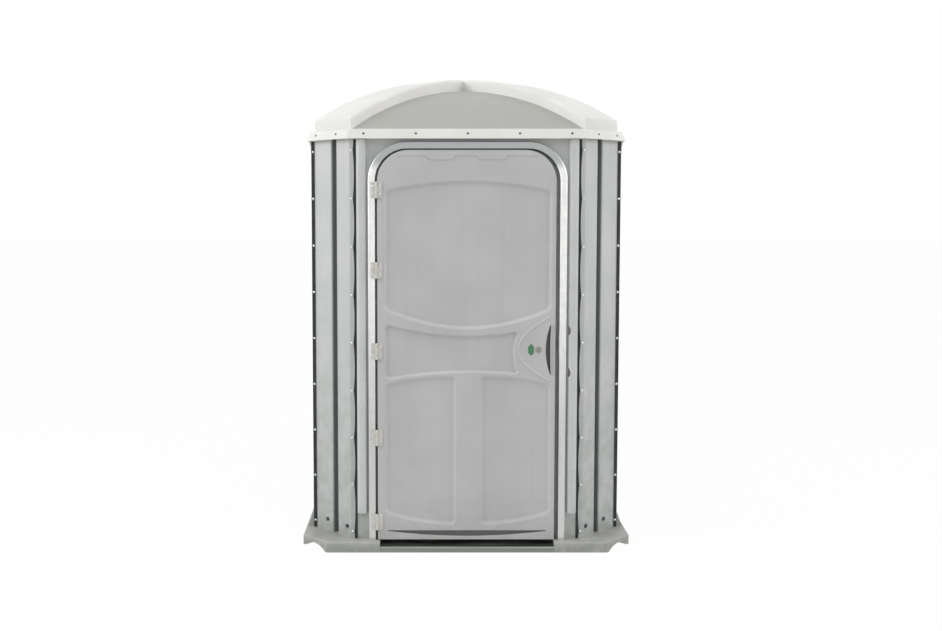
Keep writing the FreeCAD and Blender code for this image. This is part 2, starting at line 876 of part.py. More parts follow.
def rim_ring(inset, z_low, z_high):
    """Flared rim block, made smaller by the inset all round."""

    def loop(half, height):
        flat_half = roof_flat_half + (half - wall_half) * tan_eighth
        points = [Vector(x, y, height) for x, y in octagon(half, flat_half)]
        return Part.makePolygon(points + [points[0]])

    def half_at(height):
        share = (rim_top - height) / rim_height
        return rim_top_half + (rim_bottom_half - rim_top_half) * share - inset

    return Part.makeLoft([loop(half_at(z_low), z_low), loop(half_at(z_high), z_high)], True, True)


def roof():
    shell = fuse([roof_body(0.0), rim_ring(0.0, rim_bottom, rim_top)])
    hollow = rim_ring(roof_skin, rim_bottom - 5, wall_top)
    shell = shell.cut([roof_body(roof_skin), hollow])
    pipe_hole = rod(vent_pipe_radius + 1, Vector(vent_pipe_x, vent_pipe_y, wall_top),
                    Vector(vent_pipe_x, vent_pipe_y, roof_top))
    return shell.cut([pipe_hole] + straight_roof_screws() + all_chamfer_roof_screws())


def rim_face_at(height):
    """Half width of the rim's outer face at a height."""
    share = (rim_top - height) / rim_height
    return rim_top_half + (rim_bottom_half - rim_top_half) * share


def straight_roof_screws():
    ahead = Vector(0, -1, 0)
    face = rim_face_at(roof_screw_height)
    screws = [fastener(roof_screw_radius, roof_screw_head, roof_screw_shank, roof_screw_length,
                       Vector(x, -face, roof_screw_height), ahead) for x in roof_screw_places]
    return [spun(screw, 90.0 * turn) for turn in range(4) for screw in screws]


def chamfer_roof_screws():
    outward = Vector(-1, -1, 0).normalize()
    half = rim_face_at(roof_screw_height)
    flat_half = roof_flat_half + (half - wall_half) * tan_eighth
    middle = outward * ((half + flat_half) / root_two)
    along = Vector(1, -1, 0).normalize()
    length = roof_screw_length
    return [fastener(roof_screw_radius, roof_screw_head, roof_screw_shank, length,
                     middle + along * place + Vector(0, 0, roof_screw_height), outward)
            for place in roof_screw_chamfer_places]


def all_chamfer_roof_screws():
    return four_corners(chamfer_roof_screws())


def vent_pipe():
    foot = Vector(vent_pipe_x, vent_pipe_y, tank_top)
    head = Vector(vent_pipe_x, vent_pipe_y, vent_pipe_top)
    return rod(vent_pipe_radius, foot, head).cut(rod(vent_pipe_radius - vent_pipe_wall, foot, head))


def vent_collar():
    """Flashing ring that follows the roof's surface round the pipe."""
    surface = rib_height((abs(vent_pipe_x) + abs(vent_pipe_y)) / root_two, 0.0)
    low = Vector(vent_pipe_x, vent_pipe_y, surface - 80)
    high = Vector(vent_pipe_x, vent_pipe_y, surface + collar_rise)
    ring = rod(vent_pipe_radius + collar_width, low, high).cut(rod(vent_pipe_radius + 0.2, low, high))
    return ring.cut(roof_body(0.0))


def vent_cap():
    """Rain cap on three legs that stand on the pipe's rim."""
    top = vent_pipe_top + vent_cap_height
    crown = Vector(vent_pipe_x, vent_pipe_y, top)
    disc = rod(vent_cap_radius, crown - Vector(0, 0, vent_cap_skirt), crown)
    hollow = rod(vent_cap_radius - 3, crown - Vector(0, 0, vent_cap_skirt), crown - Vector(0, 0, 3))
    cap = disc.cut(hollow)
    legs = []
    for index in range(vent_cap_legs):
        radius = vent_pipe_radius - vent_pipe_wall / 2.0
        x, y = turned((radius, 0), 360.0 / vent_cap_legs * index)
        foot = Vector(vent_pipe_x + x, vent_pipe_y + y, vent_pipe_top)
        legs.append(rod(vent_pipe_wall / 2.0, foot, Vector(foot.x, foot.y, top - 1)))
    return fuse([cap] + legs)


# Wall vents


def vent_grille():
    """Louvred vent in the rear wall's frame of reference: its flange lies on the wall's outer face."""
    half_w = vent_width / 2.0
    half_h = vent_height / 2.0
    flange = box((-half_w, half_w), (0, vent_flange), (-half_h, half_h))
    neck = box((-half_w + vent_border, half_w - vent_border), (-vent_depth, vent_flange),
               (-half_h + vent_border, half_h - vent_border))
    clear_w = half_w - vent_border - 3
    clear_h = half_h - vent_border - 3
    window = box((-clear_w, clear_w), (-vent_depth - 1, vent_flange + 1), (-clear_h, clear_h))
    frame = fuse([flange, neck]).cut(window)
    slat = box((-clear_w - 1, clear_w + 1), (-vent_depth / 2.0, vent_depth / 2.0),
               (-vent_slat_thickness / 2.0, vent_slat_thickness / 2.0))
    slat.rotate(Vector(0, 0, 0), Vector(1, 0, 0), -vent_slat_tilt)
    pitch = 2 * clear_h / vent_slats
    slats = []
    for index in range(vent_slats):
        copy = slat.copy()
        copy.translate(Vector(0, (vent_flange - vent_depth) / 2.0, -clear_h + pitch * (index + 0.5)))
        slats.append(copy)
    return fuse([frame] + slats)


def placed_vent(shape, place, turn):
    """A piece of a vent set into the wall that faces the turned rear direction."""
    copy = shape.copy()
    copy.translate(Vector(place, wall_half, vent_centre))
    return spun(copy, turn)


def wall_vents():
    grille = vent_grille()
    return [placed_vent(grille, place, turn) for turn in (0, 90, 270) for place in vent_places]


def vent_holes(turn):
    reach_w = vent_width / 2.0 - vent_border + vent_fit
    reach_h = vent_height / 2.0 - vent_border + vent_fit
    hole = box((-reach_w, reach_w), (-wall_sheet - 1, 1), (-reach_h, reach_h))
    return [placed_vent(hole, place, turn) for place in vent_places]


# Door frame and posts


def door_frame():
    """Bright rectangular tube round the doorway, open at its two feet."""
    front = -frame_front
    back = -frame_back
    outer = arched_block(frame_half, frame_top, frame_corner, front, back, lip_height)
    inner = arched_block(frame_inner, frame_top - frame_width, frame_corner - frame_width, front - 1,
                         back + 1,
                         lip_height - 1)
    hollow_outer = arched_block(frame_half - frame_wall, frame_top - frame_wall, frame_corner - frame_wall,
                                front + frame_wall, back - frame_wall, lip_height - 1)
    core = arched_block(frame_inner + frame_wall, frame_top - frame_width + frame_wall,
                        frame_corner - frame_width + frame_wall, front - 1, back + 1, lip_height - 2)
    bar = outer.cut(inner)
    front_edges = [edge for edge in bar.Edges if all(abs(v.Y - front) < 0.01 for v in edge.Vertexes)
                   and edge.BoundBox.ZMax > lip_height + 1]
    bar = bar.makeFillet(frame_edge_round, front_edges)
    return bar.cut([hollow_outer.cut(core), bolt_hole()] + frame_screw_set())


def frame_screw_set():
    """Screws into the frame: the hinges' and the strike plate's."""
    return hinge_frame_screw_set() + strike_screw_set()


def door_seal():
    """Rubber strip on the frame's back that the shut door rests against, open across the sill."""
    front = -frame_back
    back = front + seal_thickness
    outer = arched_block(frame_inner + seal_land, frame_top - frame_width + seal_land,
                         frame_corner - frame_width + seal_land, front, back, lip_height)
    opening = arched_block(frame_inner - seal_overlap, frame_top - frame_width - seal_overlap,
                           frame_corner - frame_width - seal_overlap, front - 1, back + 1, lip_height - 1)
    relief = arched_block(frame_inner, frame_top - frame_width, frame_corner - frame_width, front - 1,
                          front + seal_door_gap, lip_height - 1)
    return outer.cut([opening, relief])


def bolt_hole():
    """Slot in the frame's lock side and its strike plate that the bolt enters."""
    gap = strike_slot_gap
    return box((frame_inner - strike_thickness - 1, frame_inner + frame_wall + 1),
               (bolt_mid_y - bolt_thickness / 2 - gap, bolt_mid_y + bolt_thickness / 2 + gap),
               (bolt_low - gap, bolt_low + bolt_width + gap))


def strike_plate():
    middle = bolt_low + bolt_width / 2.0
    plate = box((frame_inner - strike_thickness, frame_inner), (-frame_front + 4, -frame_back - 2),
                (middle - strike_height / 2, middle + strike_height / 2))
    return plate.cut([bolt_hole()] + strike_screw_set())


def strike_screw_set():
    middle = bolt_low + bolt_width / 2.0
    inward = Vector(-1, 0, 0)
    foot_x = frame_inner - strike_thickness
    return [fastener(screw_radius, screw_head, screw_shank, screw_length,
                     Vector(foot_x, bolt_mid_y, middle + shift),
                     inward) for shift in (-strike_height / 2 + 10, strike_height / 2 - 10)]


def front_post():
    """Right front post: a rounded hollow bead on the front wall, open at its foot."""
    path = [(post_inner, -wall_half), (post_inner, -post_front), (post_outer, -post_front),
            (post_outer, -wall_half)]
    post = bent_sheet(path, post_sheet, post_bend, post_bottom, rim_bottom - 2)
    notches = []
    for rise in post_notch_rises:
        x = post_inner - post_notch_radius + post_notch_depth
        z = latch_height + rise
        notches.append(rod(post_notch_radius, Vector(x, -post_front - 1, z), Vector(x, -wall_half - 5, z)))
    return post, post.cut(notches)


# Door


def outline_cutter(edges, depth):
    """Pocket tool cut into the door's front face from a closed outline, with rounded corners."""
    face = Part.Face(Part.Wire(Part.__sortEdges__(edges)))
    tool = face.extrude(Vector(0, depth + 1, 0))
    corners = [edge for edge in tool.Edges if abs(edge.tangentAt(edge.FirstParameter).y) > 0.99]
    return tool.makeFillet(recess_corner, corners)


def on_door(x, z):
    """Point just in front of the door's face."""
    return Vector(x, -frame_front - 1, z)


def line(first, second):
    return Part.LineSegment(on_door(*first), on_door(*second)).toShape()


def arc(first, middle, last):
    return Part.Arc(on_door(*first), on_door(*middle), on_door(*last)).toShape()


def upper_recess():
    left, right = recess_left, recess_right
    side_top, mid_top = [door_top - drop for drop in upper_recess_top]
    side_low, mid_low = [latch_height + rise for rise in upper_recess_foot]
    return [arc((left, side_top), (0, mid_top), (right, side_top)),
            line((right, side_top), (right, side_low)),
            arc((right, side_low), (0, mid_low), (left, side_low)), line((left, side_low), (left, side_top))]


def middle_recess():
    """Recess left of the latch, whose right edge bows round the latch's zone."""
    left = recess_left
    right = spindle_x - middle_recess_reach
    left_top, left_low = [latch_height + rise for rise in middle_recess_left]
    mid_top, mid_low = [latch_height + rise for rise in middle_recess_middle]
    right_top, bow, right_low = [latch_height + rise for rise in middle_recess_right]
    return [arc((left, left_top), (0, mid_top), (right, right_top)),
            arc((right, right_top), (right - middle_recess_bow, bow), (right, right_low)),
            arc((right, right_low), (0, mid_low), (left, left_low)), line((left, left_low), (left, left_top))]


def lower_recess(inner, outer):
    middle = (inner + outer) / 2
    inner_top, mid_top, outer_top = [latch_height + rise for rise in lower_recess_top]
    inner_low, mid_low, outer_low = [door_bottom + rise for rise in lower_recess_foot]
    return [line((inner, inner_low), (inner, inner_top)),
            arc((inner, inner_top), (middle, mid_top), (outer, outer_top)),
            line((outer, outer_top), (outer, outer_low)),
            arc((outer, outer_low), (middle, mid_low), (inner, inner_low))]


def kick_groove():
    """Groove above the door's foot with a level top and a bowed lower side."""
    left, right, top = -kick_groove_half, kick_groove_half, kick_groove_top
    edges = [line((left, top), (right, top)), arc((right, top), (0, top - kick_groove_drop), (left, top))]
    return Part.Face(Part.Wire(edges)).extrude(Vector(0, kick_groove_depth + 1, 0))


def grip_outline(y_low, y_high, side_wall=0.0, end_wall=0.0):
    """The grip's block: straight beside the door's edge and bowed towards the hinges."""
    shoulder = grip_right - grip_bar
    low = latch_height - grip_half_height + end_wall
    high = latch_height + grip_half_height - end_wall
    places = [(shoulder, high), (grip_right, high), (grip_right, low), (shoulder, low)]
    corners = [Vector(x, y_low, z) for x, z in places]
    deepest = Vector(grip_left + side_wall, y_low, latch_height)
    sides = [Part.LineSegment(start, end).toShape() for start, end in zip(corners, corners[1:])]
    wire = Part.Wire(sides + [Part.Arc(corners[3], deepest, corners[0]).toShape()])
    return Part.Face(wire).extrude(Vector(0, y_high - y_low, 0))


def window_prism(y_low, y_high):
    """Six-sided window outline, long side upright."""
    half_w = window_width / 2.0
    half_h = window_height / 2.0
    outline = [(0, half_h), (half_w, half_h / 2), (half_w, -half_h / 2),
               (0, -half_h), (-half_w, -half_h / 2), (-half_w, half_h / 2)]
    face = polygon_face([Vector(window_x + x, y_low, latch_height + z) for x, z in outline])
    return face.extrude(Vector(0, y_high - y_low, 0))


def door_block(y_low, y_high, shrink=0.0):
    top = door_top - shrink
    corner = frame_corner - frame_width - door_top_gap - shrink
    return arched_block(door_right - shrink, top, corner, y_low, y_high, door_bottom + shrink,
                        door_left + shrink)


def door_outer_skin():
    skin = door_block(-frame_front, -skin_back)
    tools = [outline_cutter(upper_recess(), recess_depth), outline_cutter(middle_recess(), recess_depth),
             outline_cutter(lower_recess(lower_stile_shift - lower_stile_half, recess_left), recess_depth),
             outline_cutter(lower_recess(lower_stile_shift + lower_stile_half, recess_right), recess_depth),
             kick_groove(),
             grip_outline(-frame_front - 1, -skin_back + 1),
             window_prism(-frame_front - 1, -skin_back + 1),
             rod(spindle_head + spindle_fit, Vector(spindle_x, -frame_front - 1, latch_height),
                 Vector(spindle_x, -skin_back + 1, latch_height))]
    return skin.cut(tools + hinge_door_screw_set())


def door_inner_skin():
    """Inner door moulding: a tray with a rim, and raised ribs on its room side."""
    tray = door_block(-skin_back, -door_back)
    hollow = door_block(-skin_back - 1, -tray_face, inner_rim)
    tray = tray.cut(hollow)
    ribs = []
    for low in inner_rib_heights:
        ribs.append(box((door_left + inner_rib_margin, door_right - inner_rib_margin),
                        (-door_back, -door_back + inner_rib_depth), (low, low + inner_rib_width)))
    shaft = rod(spindle_shaft + spindle_fit, Vector(spindle_x, -skin_back, latch_height),
                Vector(spindle_x, -door_back + 1, latch_height))
    exit_slot = box((case_right - 10, door_right + 1),
                    (bolt_mid_y - bolt_thickness / 2 - bolt_fit, bolt_mid_y + bolt_thickness / 2 + bolt_fit),
                    (bolt_low - bolt_fit, bolt_low + bolt_width + bolt_fit))
    grip = grip_outline(-frame_front, -frame_front + grip_depth)
    return fuse([tray] + ribs).cut([shaft, exit_slot, grip] + pull_screw_set())


def grip_insert():
    """Finger grip: a crescent pocket beside a rounded bar at the door's edge."""
    back = -frame_front + grip_depth
    block = grip_outline(-frame_front, back)
    inner = grip_outline(-frame_front - 1, back - grip_floor, grip_side_wall, grip_end_wall)
    bar_x = grip_right - grip_bar + grip_bar_bow
    bar = rod(grip_bar_bow, Vector(bar_x, -frame_front - 2, latch_height),
              Vector(bar_x, back + 1, latch_height))
    return block.cut(inner.cut(bar))


def indicator_window():
    return window_prism(-frame_front + 1, -frame_front + 1 + window_pane)


# Hinges


def hinge_axis_y():
    return -(frame_front + hinge_axis_rise)


def hinge_leaf_piece(height, side):
    """Leaf with its knuckles: the frame side has the two end ones, the door side the middle one."""
    third = hinge_height / 3.0
    axis_y = hinge_axis_y()
    low = height - hinge_height / 2.0
    reach = hinge_axis_x + side * hinge_reach
    edge = hinge_axis_x + side * (hinge_barrel + hinge_knuckle_gap)
    plate = box((reach, edge), (-frame_front, -leaf_face), (low, low + hinge_height))
    spans = [(low, low + third - hinge_knuckle_gap), (low + 2 * third + hinge_knuckle_gap,
                                                      low + hinge_height)]
    if side > 0:
        spans = [(low + third, low + 2 * third)]
    pieces = [plate]
    for z_low, z_high in spans:
        pieces.append(rod(hinge_barrel, Vector(hinge_axis_x, axis_y, z_low),
                          Vector(hinge_axis_x, axis_y, z_high)))
        pieces.append(box((edge + side, hinge_axis_x), (-frame_front - 1, -leaf_face), (z_low, z_high)))
    bore = rod(hinge_pin + hinge_fit, Vector(hinge_axis_x, axis_y, low - 1),
               Vector(hinge_axis_x, axis_y, low + hinge_height + 1))
    return fuse(pieces).cut([bore] + hinge_screws_at(height, side))


def hinge_screws_at(height, side):
    ahead = Vector(0, -1, 0)
    x = hinge_axis_x + side * (hinge_barrel + hinge_reach) / 2.0
    x += side * 1.0
    return [fastener(screw_radius, screw_head, screw_shank, screw_length,
                     Vector(x, -leaf_face, height + shift),
                     ahead) for shift in (-hinge_height / 4, hinge_height / 4)]


def hinge_frame_screw_set():
    return [screw for height in hinge_heights for screw in hinge_screws_at(height, -1)]


def hinge_door_screw_set():
    return [screw for height in hinge_heights for screw in hinge_screws_at(height, 1)]


def door_screw_set():
    """Screws into the door: the hinges' on its front and the pull's on its room side."""
    return hinge_door_screw_set() + pull_screw_set()


def hinge_pin_piece(height):
    axis_y = hinge_axis_y()
    low = Vector(hinge_axis_x, axis_y, height - hinge_height / 2.0)
    high = Vector(hinge_axis_x, axis_y, height + hinge_height / 2.0)
    head = Vector(0, 0, hinge_pin_head_height)
    return fuse([rod(hinge_pin, low, high), rod(hinge_pin_head, low - head, low),
                 rod(hinge_pin_head, high, high + head)])


# Latch


def latch_spindle():
    front = -(frame_front + spindle_proud)
    head = rod(spindle_head, Vector(spindle_x, front, latch_height),
               Vector(spindle_x, -skin_back, latch_height))
    slot = box((spindle_x - coin_slot_width / 2, spindle_x + coin_slot_width / 2),
               (front - 1, front + coin_slot_depth),
               (latch_height - coin_slot_length / 2, latch_height + coin_slot_length / 2))
    end = -door_back + lever_gap + lever_thickness
    shaft = rod(spindle_shaft, Vector(spindle_x, -skin_back - 1, latch_height),
                Vector(spindle_x, end, latch_height))
    return fuse([head.cut(slot), shaft])


def bored_for_shaft(shape, fit=0.05):
    """The shape with a bore for the spindle's shaft."""
    return shape.cut(rod(spindle_shaft + fit, Vector(spindle_x, -frame_front, latch_height),
                         Vector(spindle_x, -door_back + 60, latch_height)))


def indicator_disc():
    """Two-colour sector behind the window: open shows at rest, engaged after a quarter turn."""
    y_low = -skin_back + disc_gap
    disc = rod(disc_radius, Vector(spindle_x, y_low, latch_height),
               Vector(spindle_x, y_low + disc_thickness, latch_height))
    span = disc_radius + 1
    wedge_plan = []
    first = 180.0 - disc_overlap
    last = 270.0 + disc_overlap
    steps = 4
    for index in range(steps + 1):
        angle = math.radians(first + (last - first) * index / steps)
        wedge_plan.append(Vector(spindle_x + 1.5 * span * math.cos(angle), y_low - 1,
                                 latch_height + 1.5 * span * math.sin(angle)))
    wedge = polygon_face([Vector(spindle_x, y_low - 1, latch_height)] + wedge_plan)
    wedge = wedge.extrude(Vector(0, disc_thickness + 2, 0))
    hub = rod(disc_inner, Vector(spindle_x, y_low, latch_height),
              Vector(spindle_x, y_low + disc_thickness, latch_height))
    return bored_for_shaft(fuse([disc.common(wedge), hub]))


def tooth(root, tip):
    """Plan of one tooth as (across, along) pairs, standing up from its root."""
    wide = rack_pitch * tooth_share
    narrow = wide * tooth_taper
    return [(-wide / 2 - 0.6, root), (-narrow / 2, tip), (narrow / 2, tip), (wide / 2 + 0.6, root)]


def latch_pinion():
    y_low = bolt_mid_y - bolt_thickness / 2.0
    root = pinion_radius - tooth_height / 2.0
    hub = rod(root, Vector(spindle_x, y_low, latch_height),
              Vector(spindle_x, y_low + bolt_thickness, latch_height))
    points = [Vector(spindle_x + across, y_low, latch_height + along)
              for across, along in tooth(root - 1.5, pinion_radius + tooth_height / 2.0 - 0.4)]
    one = polygon_face(points).extrude(Vector(0, bolt_thickness, 0))
    centre = Vector(spindle_x, 0, latch_height)
    teeth = [one.rotated(centre, Vector(0, 1, 0), 360.0 / pinion_teeth * index) for index in range(pinion_teeth)]
    return bored_for_shaft(fuse([hub] + teeth))


def latch_bolt():
    """Flat bolt with a rack under it. Its teeth sit between the pinion's."""
    y_low = bolt_mid_y - bolt_thickness / 2.0
    end = door_right - 3.0
    bar = box((bolt_start, end), (y_low, y_low + bolt_thickness), (bolt_low, bolt_low + bolt_width))
    teeth = []
    reach = int(math.ceil(bolt_travel / rack_pitch)) + 1
    for index in range(-reach - 1, 2):
        centre_x = spindle_x + rack_pitch * (index + 0.5)
        points = [Vector(centre_x + across, y_low, bolt_low - along)
                  for across, along in tooth(-1.0, tooth_height - 0.4)]
        teeth.append(polygon_face(points).extrude(Vector(0, bolt_thickness, 0)))
    return fuse([bar] + teeth)


def latch_case():
    """Back plate of the lock with the two rails that guide the bolt."""
    y_high = -tray_face
    y_low = y_high - case_plate
    low = latch_height - 34.0
    rail = 6.0
    high = bolt_low + bolt_width + bolt_fit + rail
    plate = box((case_left, case_right), (y_low, y_high), (low, high))
    rail_low = bolt_mid_y - bolt_thickness / 2.0
    upper = box((case_left, case_right), (rail_low, y_high), (bolt_low + bolt_width + bolt_fit, high))
    lower_start = spindle_x + 2.0 * rack_pitch + bolt_travel
    lower = box((lower_start, case_right), (rail_low, y_high),
                (bolt_low - bolt_fit - rail, bolt_low - bolt_fit))
    return bored_for_shaft(fuse([plate, upper, lower]), spindle_fit)


def latch_lever():
    """Inside handle on the spindle: hanging down when the latch is open."""
    y_low = -door_back + lever_gap
    y_high = y_low + lever_thickness
    hub = rod(lever_hub, Vector(spindle_x, y_low, latch_height), Vector(spindle_x, y_high, latch_height))
    arm = box((spindle_x - lever_width / 2, spindle_x + lever_width / 2), (y_low, y_high),
              (latch_height - lever_length, latch_height))
    tip = rod(lever_width / 2, Vector(spindle_x, y_low, latch_height - lever_length),
              Vector(spindle_x, y_high, latch_height - lever_length))
    return bored_for_shaft(fuse([hub, arm, tip]))


def inner_pull():
    """Bow handle on the door's room side."""
    face = -door_back
    half = pull_height / 2.0
    path = [Vector(pull_x, face, latch_height - half), Vector(pull_x, face + pull_reach, latch_height - half),
            Vector(pull_x, face + pull_reach, latch_height + half), Vector(pull_x, face, latch_height + half)]
    wire = Part.Wire(Part.__sortEdges__(rounded_edges(path, lambda index: 2.0 * pull_radius)))
    ring = Part.Wire(Part.makeCircle(pull_radius, path[0], Vector(0, 1, 0)))
    bow = wire.makePipeShell([ring], True, False)
    feet = [box((pull_x - pull_foot, pull_x + pull_foot), (face, face + pull_foot_thickness),
                (z - 26, z + 26))
            for z in (latch_height - half, latch_height + half)]
    return fuse([bow] + feet).cut(pull_screw_set())


def pull_screw_set():
    inward = Vector(0, 1, 0)
    foot_y = -door_back + pull_foot_thickness
    half = pull_height / 2.0
    return [fastener(screw_radius, screw_head, screw_shank, screw_length,
                     Vector(pull_x, foot_y, latch_height + z), inward)
            for z in (-half - 19, -half + 19, half - 19, half + 19)]


# Tank and seat


def ellipse_prism(half_x, half_y, z_low, z_high, centre_y):
    """Upright oval solid, over the seat's centre line."""
    centre = Vector(seat_x, centre_y, z_low)
    long_end = centre + Vector(0, half_y, 0)
    short_end = centre + Vector(half_x, 0, 0)
    edge = Part.Ellipse(long_end, short_end, centre).toShape()
    return Part.Face(Part.Wire(edge)).extrude(Vector(0, 0, z_high - z_low))


def tank_block(inset, z_low, z_high):
    cut = tank_corner_cut + inset * (2 - root_two)
    plan = [(tank_left + inset, tank_front + inset), (tank_right - inset, tank_front + inset),
            (tank_right - inset, tank_back - inset), (tank_left + cut, tank_back - inset),
            (tank_left + inset, tank_back - cut)]
    block = prism(plan, z_low, z_high)
    upright = [edge for edge in block.Edges if abs(edge.tangentAt(0).z) > 0.99]
    return block.makeFillet(tank_round - inset, upright)


def waste_tank():
    """Hollow holding tank with the seat's hole, the vent's hole and two feet at the front."""
    shell = tank_block(0.0, floor_height, tank_top)
    hollow = tank_block(tank_skin, floor_height + tank_skin, tank_top - tank_skin)
    hole = ellipse_prism(tank_hole_half_x, tank_hole_half_y, tank_top - tank_skin - 1, tank_top + 1,
                         seat_centre_y)
    vent = rod(vent_pipe_radius - vent_pipe_wall, Vector(vent_pipe_x, vent_pipe_y, tank_top - tank_skin - 1),
               Vector(vent_pipe_x, vent_pipe_y, tank_top + 1))
    feet = [box((x - tank_foot, x + tank_foot), (tank_front - tank_foot, tank_front + 1),
                (floor_height, floor_height + tank_foot_thickness)) for x in tank_foot_places()]
    return fuse([shell] + feet).cut([hollow, hole, vent] + tank_screw_set() + seat_bracket_screws())


def tank_foot_places():
    return (tank_left + 120.0, tank_right - 120.0)


def tank_screw_set():
    up = Vector(0, 0, 1)
    return [fastener(tank_screw_radius, screw_head, screw_shank, floor_skin, Vector(
        x, tank_front - tank_foot / 2.0, floor_height + tank_foot_thickness), up) for x in tank_foot_places()]


def seat_knuckle_piece(x_low, x_high):
    return rod(seat_knuckle, Vector(seat_x + x_low, seat_hinge_y, seat_hinge_z),
               Vector(seat_x + x_high, seat_hinge_y, seat_hinge_z))


def seat_bore():
    return rod(seat_pin + 0.06, Vector(seat_x - 200, seat_hinge_y, seat_hinge_z),
               Vector(seat_x + 200, seat_hinge_y, seat_hinge_z))


def seat_ring():
    low = tank_top + seat_gap
    high = low + seat_thickness
    ring = ellipse_prism(seat_half_x, seat_half_y, low, high, seat_centre_y)
    rims = [edge for edge in ring.Edges if edge.Length > 500 and edge.Vertexes[0].Z > high - 0.01]
    ring = ring.makeFillet(seat_thickness / 2.5, rims)
    hole = ellipse_prism(seat_hole_half_x, seat_hole_half_y, low - 1, high + 1, seat_centre_y - 8)
    pieces = [ring.cut(hole)]
    for x_low, x_high in ((-80.0, -56.0), (56.0, 80.0)):
        pieces.append(seat_knuckle_piece(x_low, x_high))
        pieces.append(box((seat_x + x_low, seat_x + x_high),
                          (seat_centre_y + seat_half_y * 0.85, seat_hinge_y),
                          (low + 3, seat_hinge_z + 4)))
    return fuse(pieces).cut(seat_bore())


def seat_lid():
    """Lid, built closed over the seat and then stood up to its open rest position."""
    low = tank_top + seat_gap + seat_thickness + lid_gap
    high = low + lid_thickness
    plate = ellipse_prism(seat_half_x, seat_half_y, low, high, seat_centre_y)
    rims = [edge for edge in plate.Edges if edge.Length > 500 and edge.Vertexes[0].Z > high - 0.01]
    plate = plate.makeFillet(lid_thickness / 2.0, rims)
    pieces = [plate]
    for x_low, x_high in ((-50.0, -28.0), (28.0, 50.0)):
        pieces.append(seat_knuckle_piece(x_low, x_high))
        pieces.append(box((seat_x + x_low, seat_x + x_high),
                          (seat_centre_y + seat_half_y * 0.9, seat_hinge_y + 6),
                          (low, high)))
    lid = fuse(pieces).cut(seat_bore())
    return lid.rotated(Vector(seat_x, seat_hinge_y, seat_hinge_z), Vector(-1, 0, 0), seat_open_angle)


def seat_bracket():
    """Hinge bracket on the tank: an ear at each end of the pin, each with a screwed foot."""
    y_low = seat_hinge_y - seat_knuckle
    y_high = seat_hinge_y + seat_knuckle
    ears = []
    for sign in (-1, 1):
        inner, outer, foot = sign * 82.0, sign * 96.0, sign * 116.0
        ear = seat_knuckle_piece(min(inner, outer), max(inner, outer))
        web = box((seat_x + inner, seat_x + outer), (y_low, y_high), (tank_top, seat_hinge_z))
        base = box((seat_x + inner, seat_x + foot), (y_low, y_high), (tank_top, tank_top + bracket_base))
        ears.append(fuse([ear, web, base]).cut([seat_bore()] + seat_bracket_screws()))
    return group(ears)


def seat_bracket_screws():
    up = Vector(0, 0, 1)
    return [fastener(screw_radius, screw_head, screw_shank, screw_length,
                     Vector(seat_x + x, seat_hinge_y, tank_top + bracket_base), up) for x in (-107.0, 107.0)]


def seat_pin_piece():
    return rod(seat_pin, Vector(seat_x - seat_pin_half, seat_hinge_y, seat_hinge_z),
               Vector(seat_x + seat_pin_half, seat_hinge_y, seat_hinge_z))


# Grab bars


def wall_place(along, reach, height, turn):
    """Point at a place along a wall, in from the wall's inner face, before the wall is turned."""
    x, y = turned((along, wall_inner - reach), turn)
    return Vector(x, y, height)


def grab_bar(ends, height, turn):
    first, last = ends
    path = [wall_place(first, flange_thickness / 2.0, height, turn),
            wall_place(first, bar_reach, height, turn),
            wall_place(last, bar_reach, height, turn), wall_place(last, flange_thickness / 2.0, height, turn)]
    return tube(bar_radius, bar_wall, path, bar_bend)


def bar_ends():
    """Every grab-bar end: its place along the wall, its height and the wall's turn."""
    sides = [(end, side_bar_height, 90.0) for end in side_bar_ends]
    rears = [(end, rear_bar_height, 0.0) for end in rear_bar_ends]
    return sides + rears


def bar_flanges():
    discs = []
    for along, height, turn in bar_ends():
        disc = rod(flange_radius, wall_place(along, 0, height, turn),
                   wall_place(along, flange_thickness, height, turn))
        seat = rod(bar_radius + 0.05, wall_place(along, flange_thickness / 2.0, height, turn),
                   wall_place(along, flange_thickness + 1, height, turn))
        discs.append(disc.cut([seat] + bar_screws()))
    return discs


def bar_screws():
    screws = []
    for along, height, turn in bar_ends():
        x, y = turned((0, -1), turn)
        inward = Vector(x, y, 0)
        for index in range(flange_screws):
            angle = math.radians(90.0 + 360.0 / flange_screws * index)
            foot = wall_place(along + flange_screw_ring * math.cos(angle), flange_thickness,
                              height + flange_screw_ring * math.sin(angle), turn)
            screws.append(fastener(screw_radius, screw_head, screw_shank, screw_length, foot, inward))
    return screws


# Paper dispenser and coat hook


def dispenser_back():
    return -bump_face


def dispenser_hinge():
    """Centre of the cover's hinge line, as (x, z)."""
    return dispenser_back() + cover_knuckle + 1.0, dispenser_high + cover_knuckle


def roll_centre():
    """Centre of the rolls, as (x, z)."""
    x = dispenser_back() + dispenser_depth / 2.0 + 2.0
    return x, (dispenser_low + dispenser_high) / 2.0 + 4.0


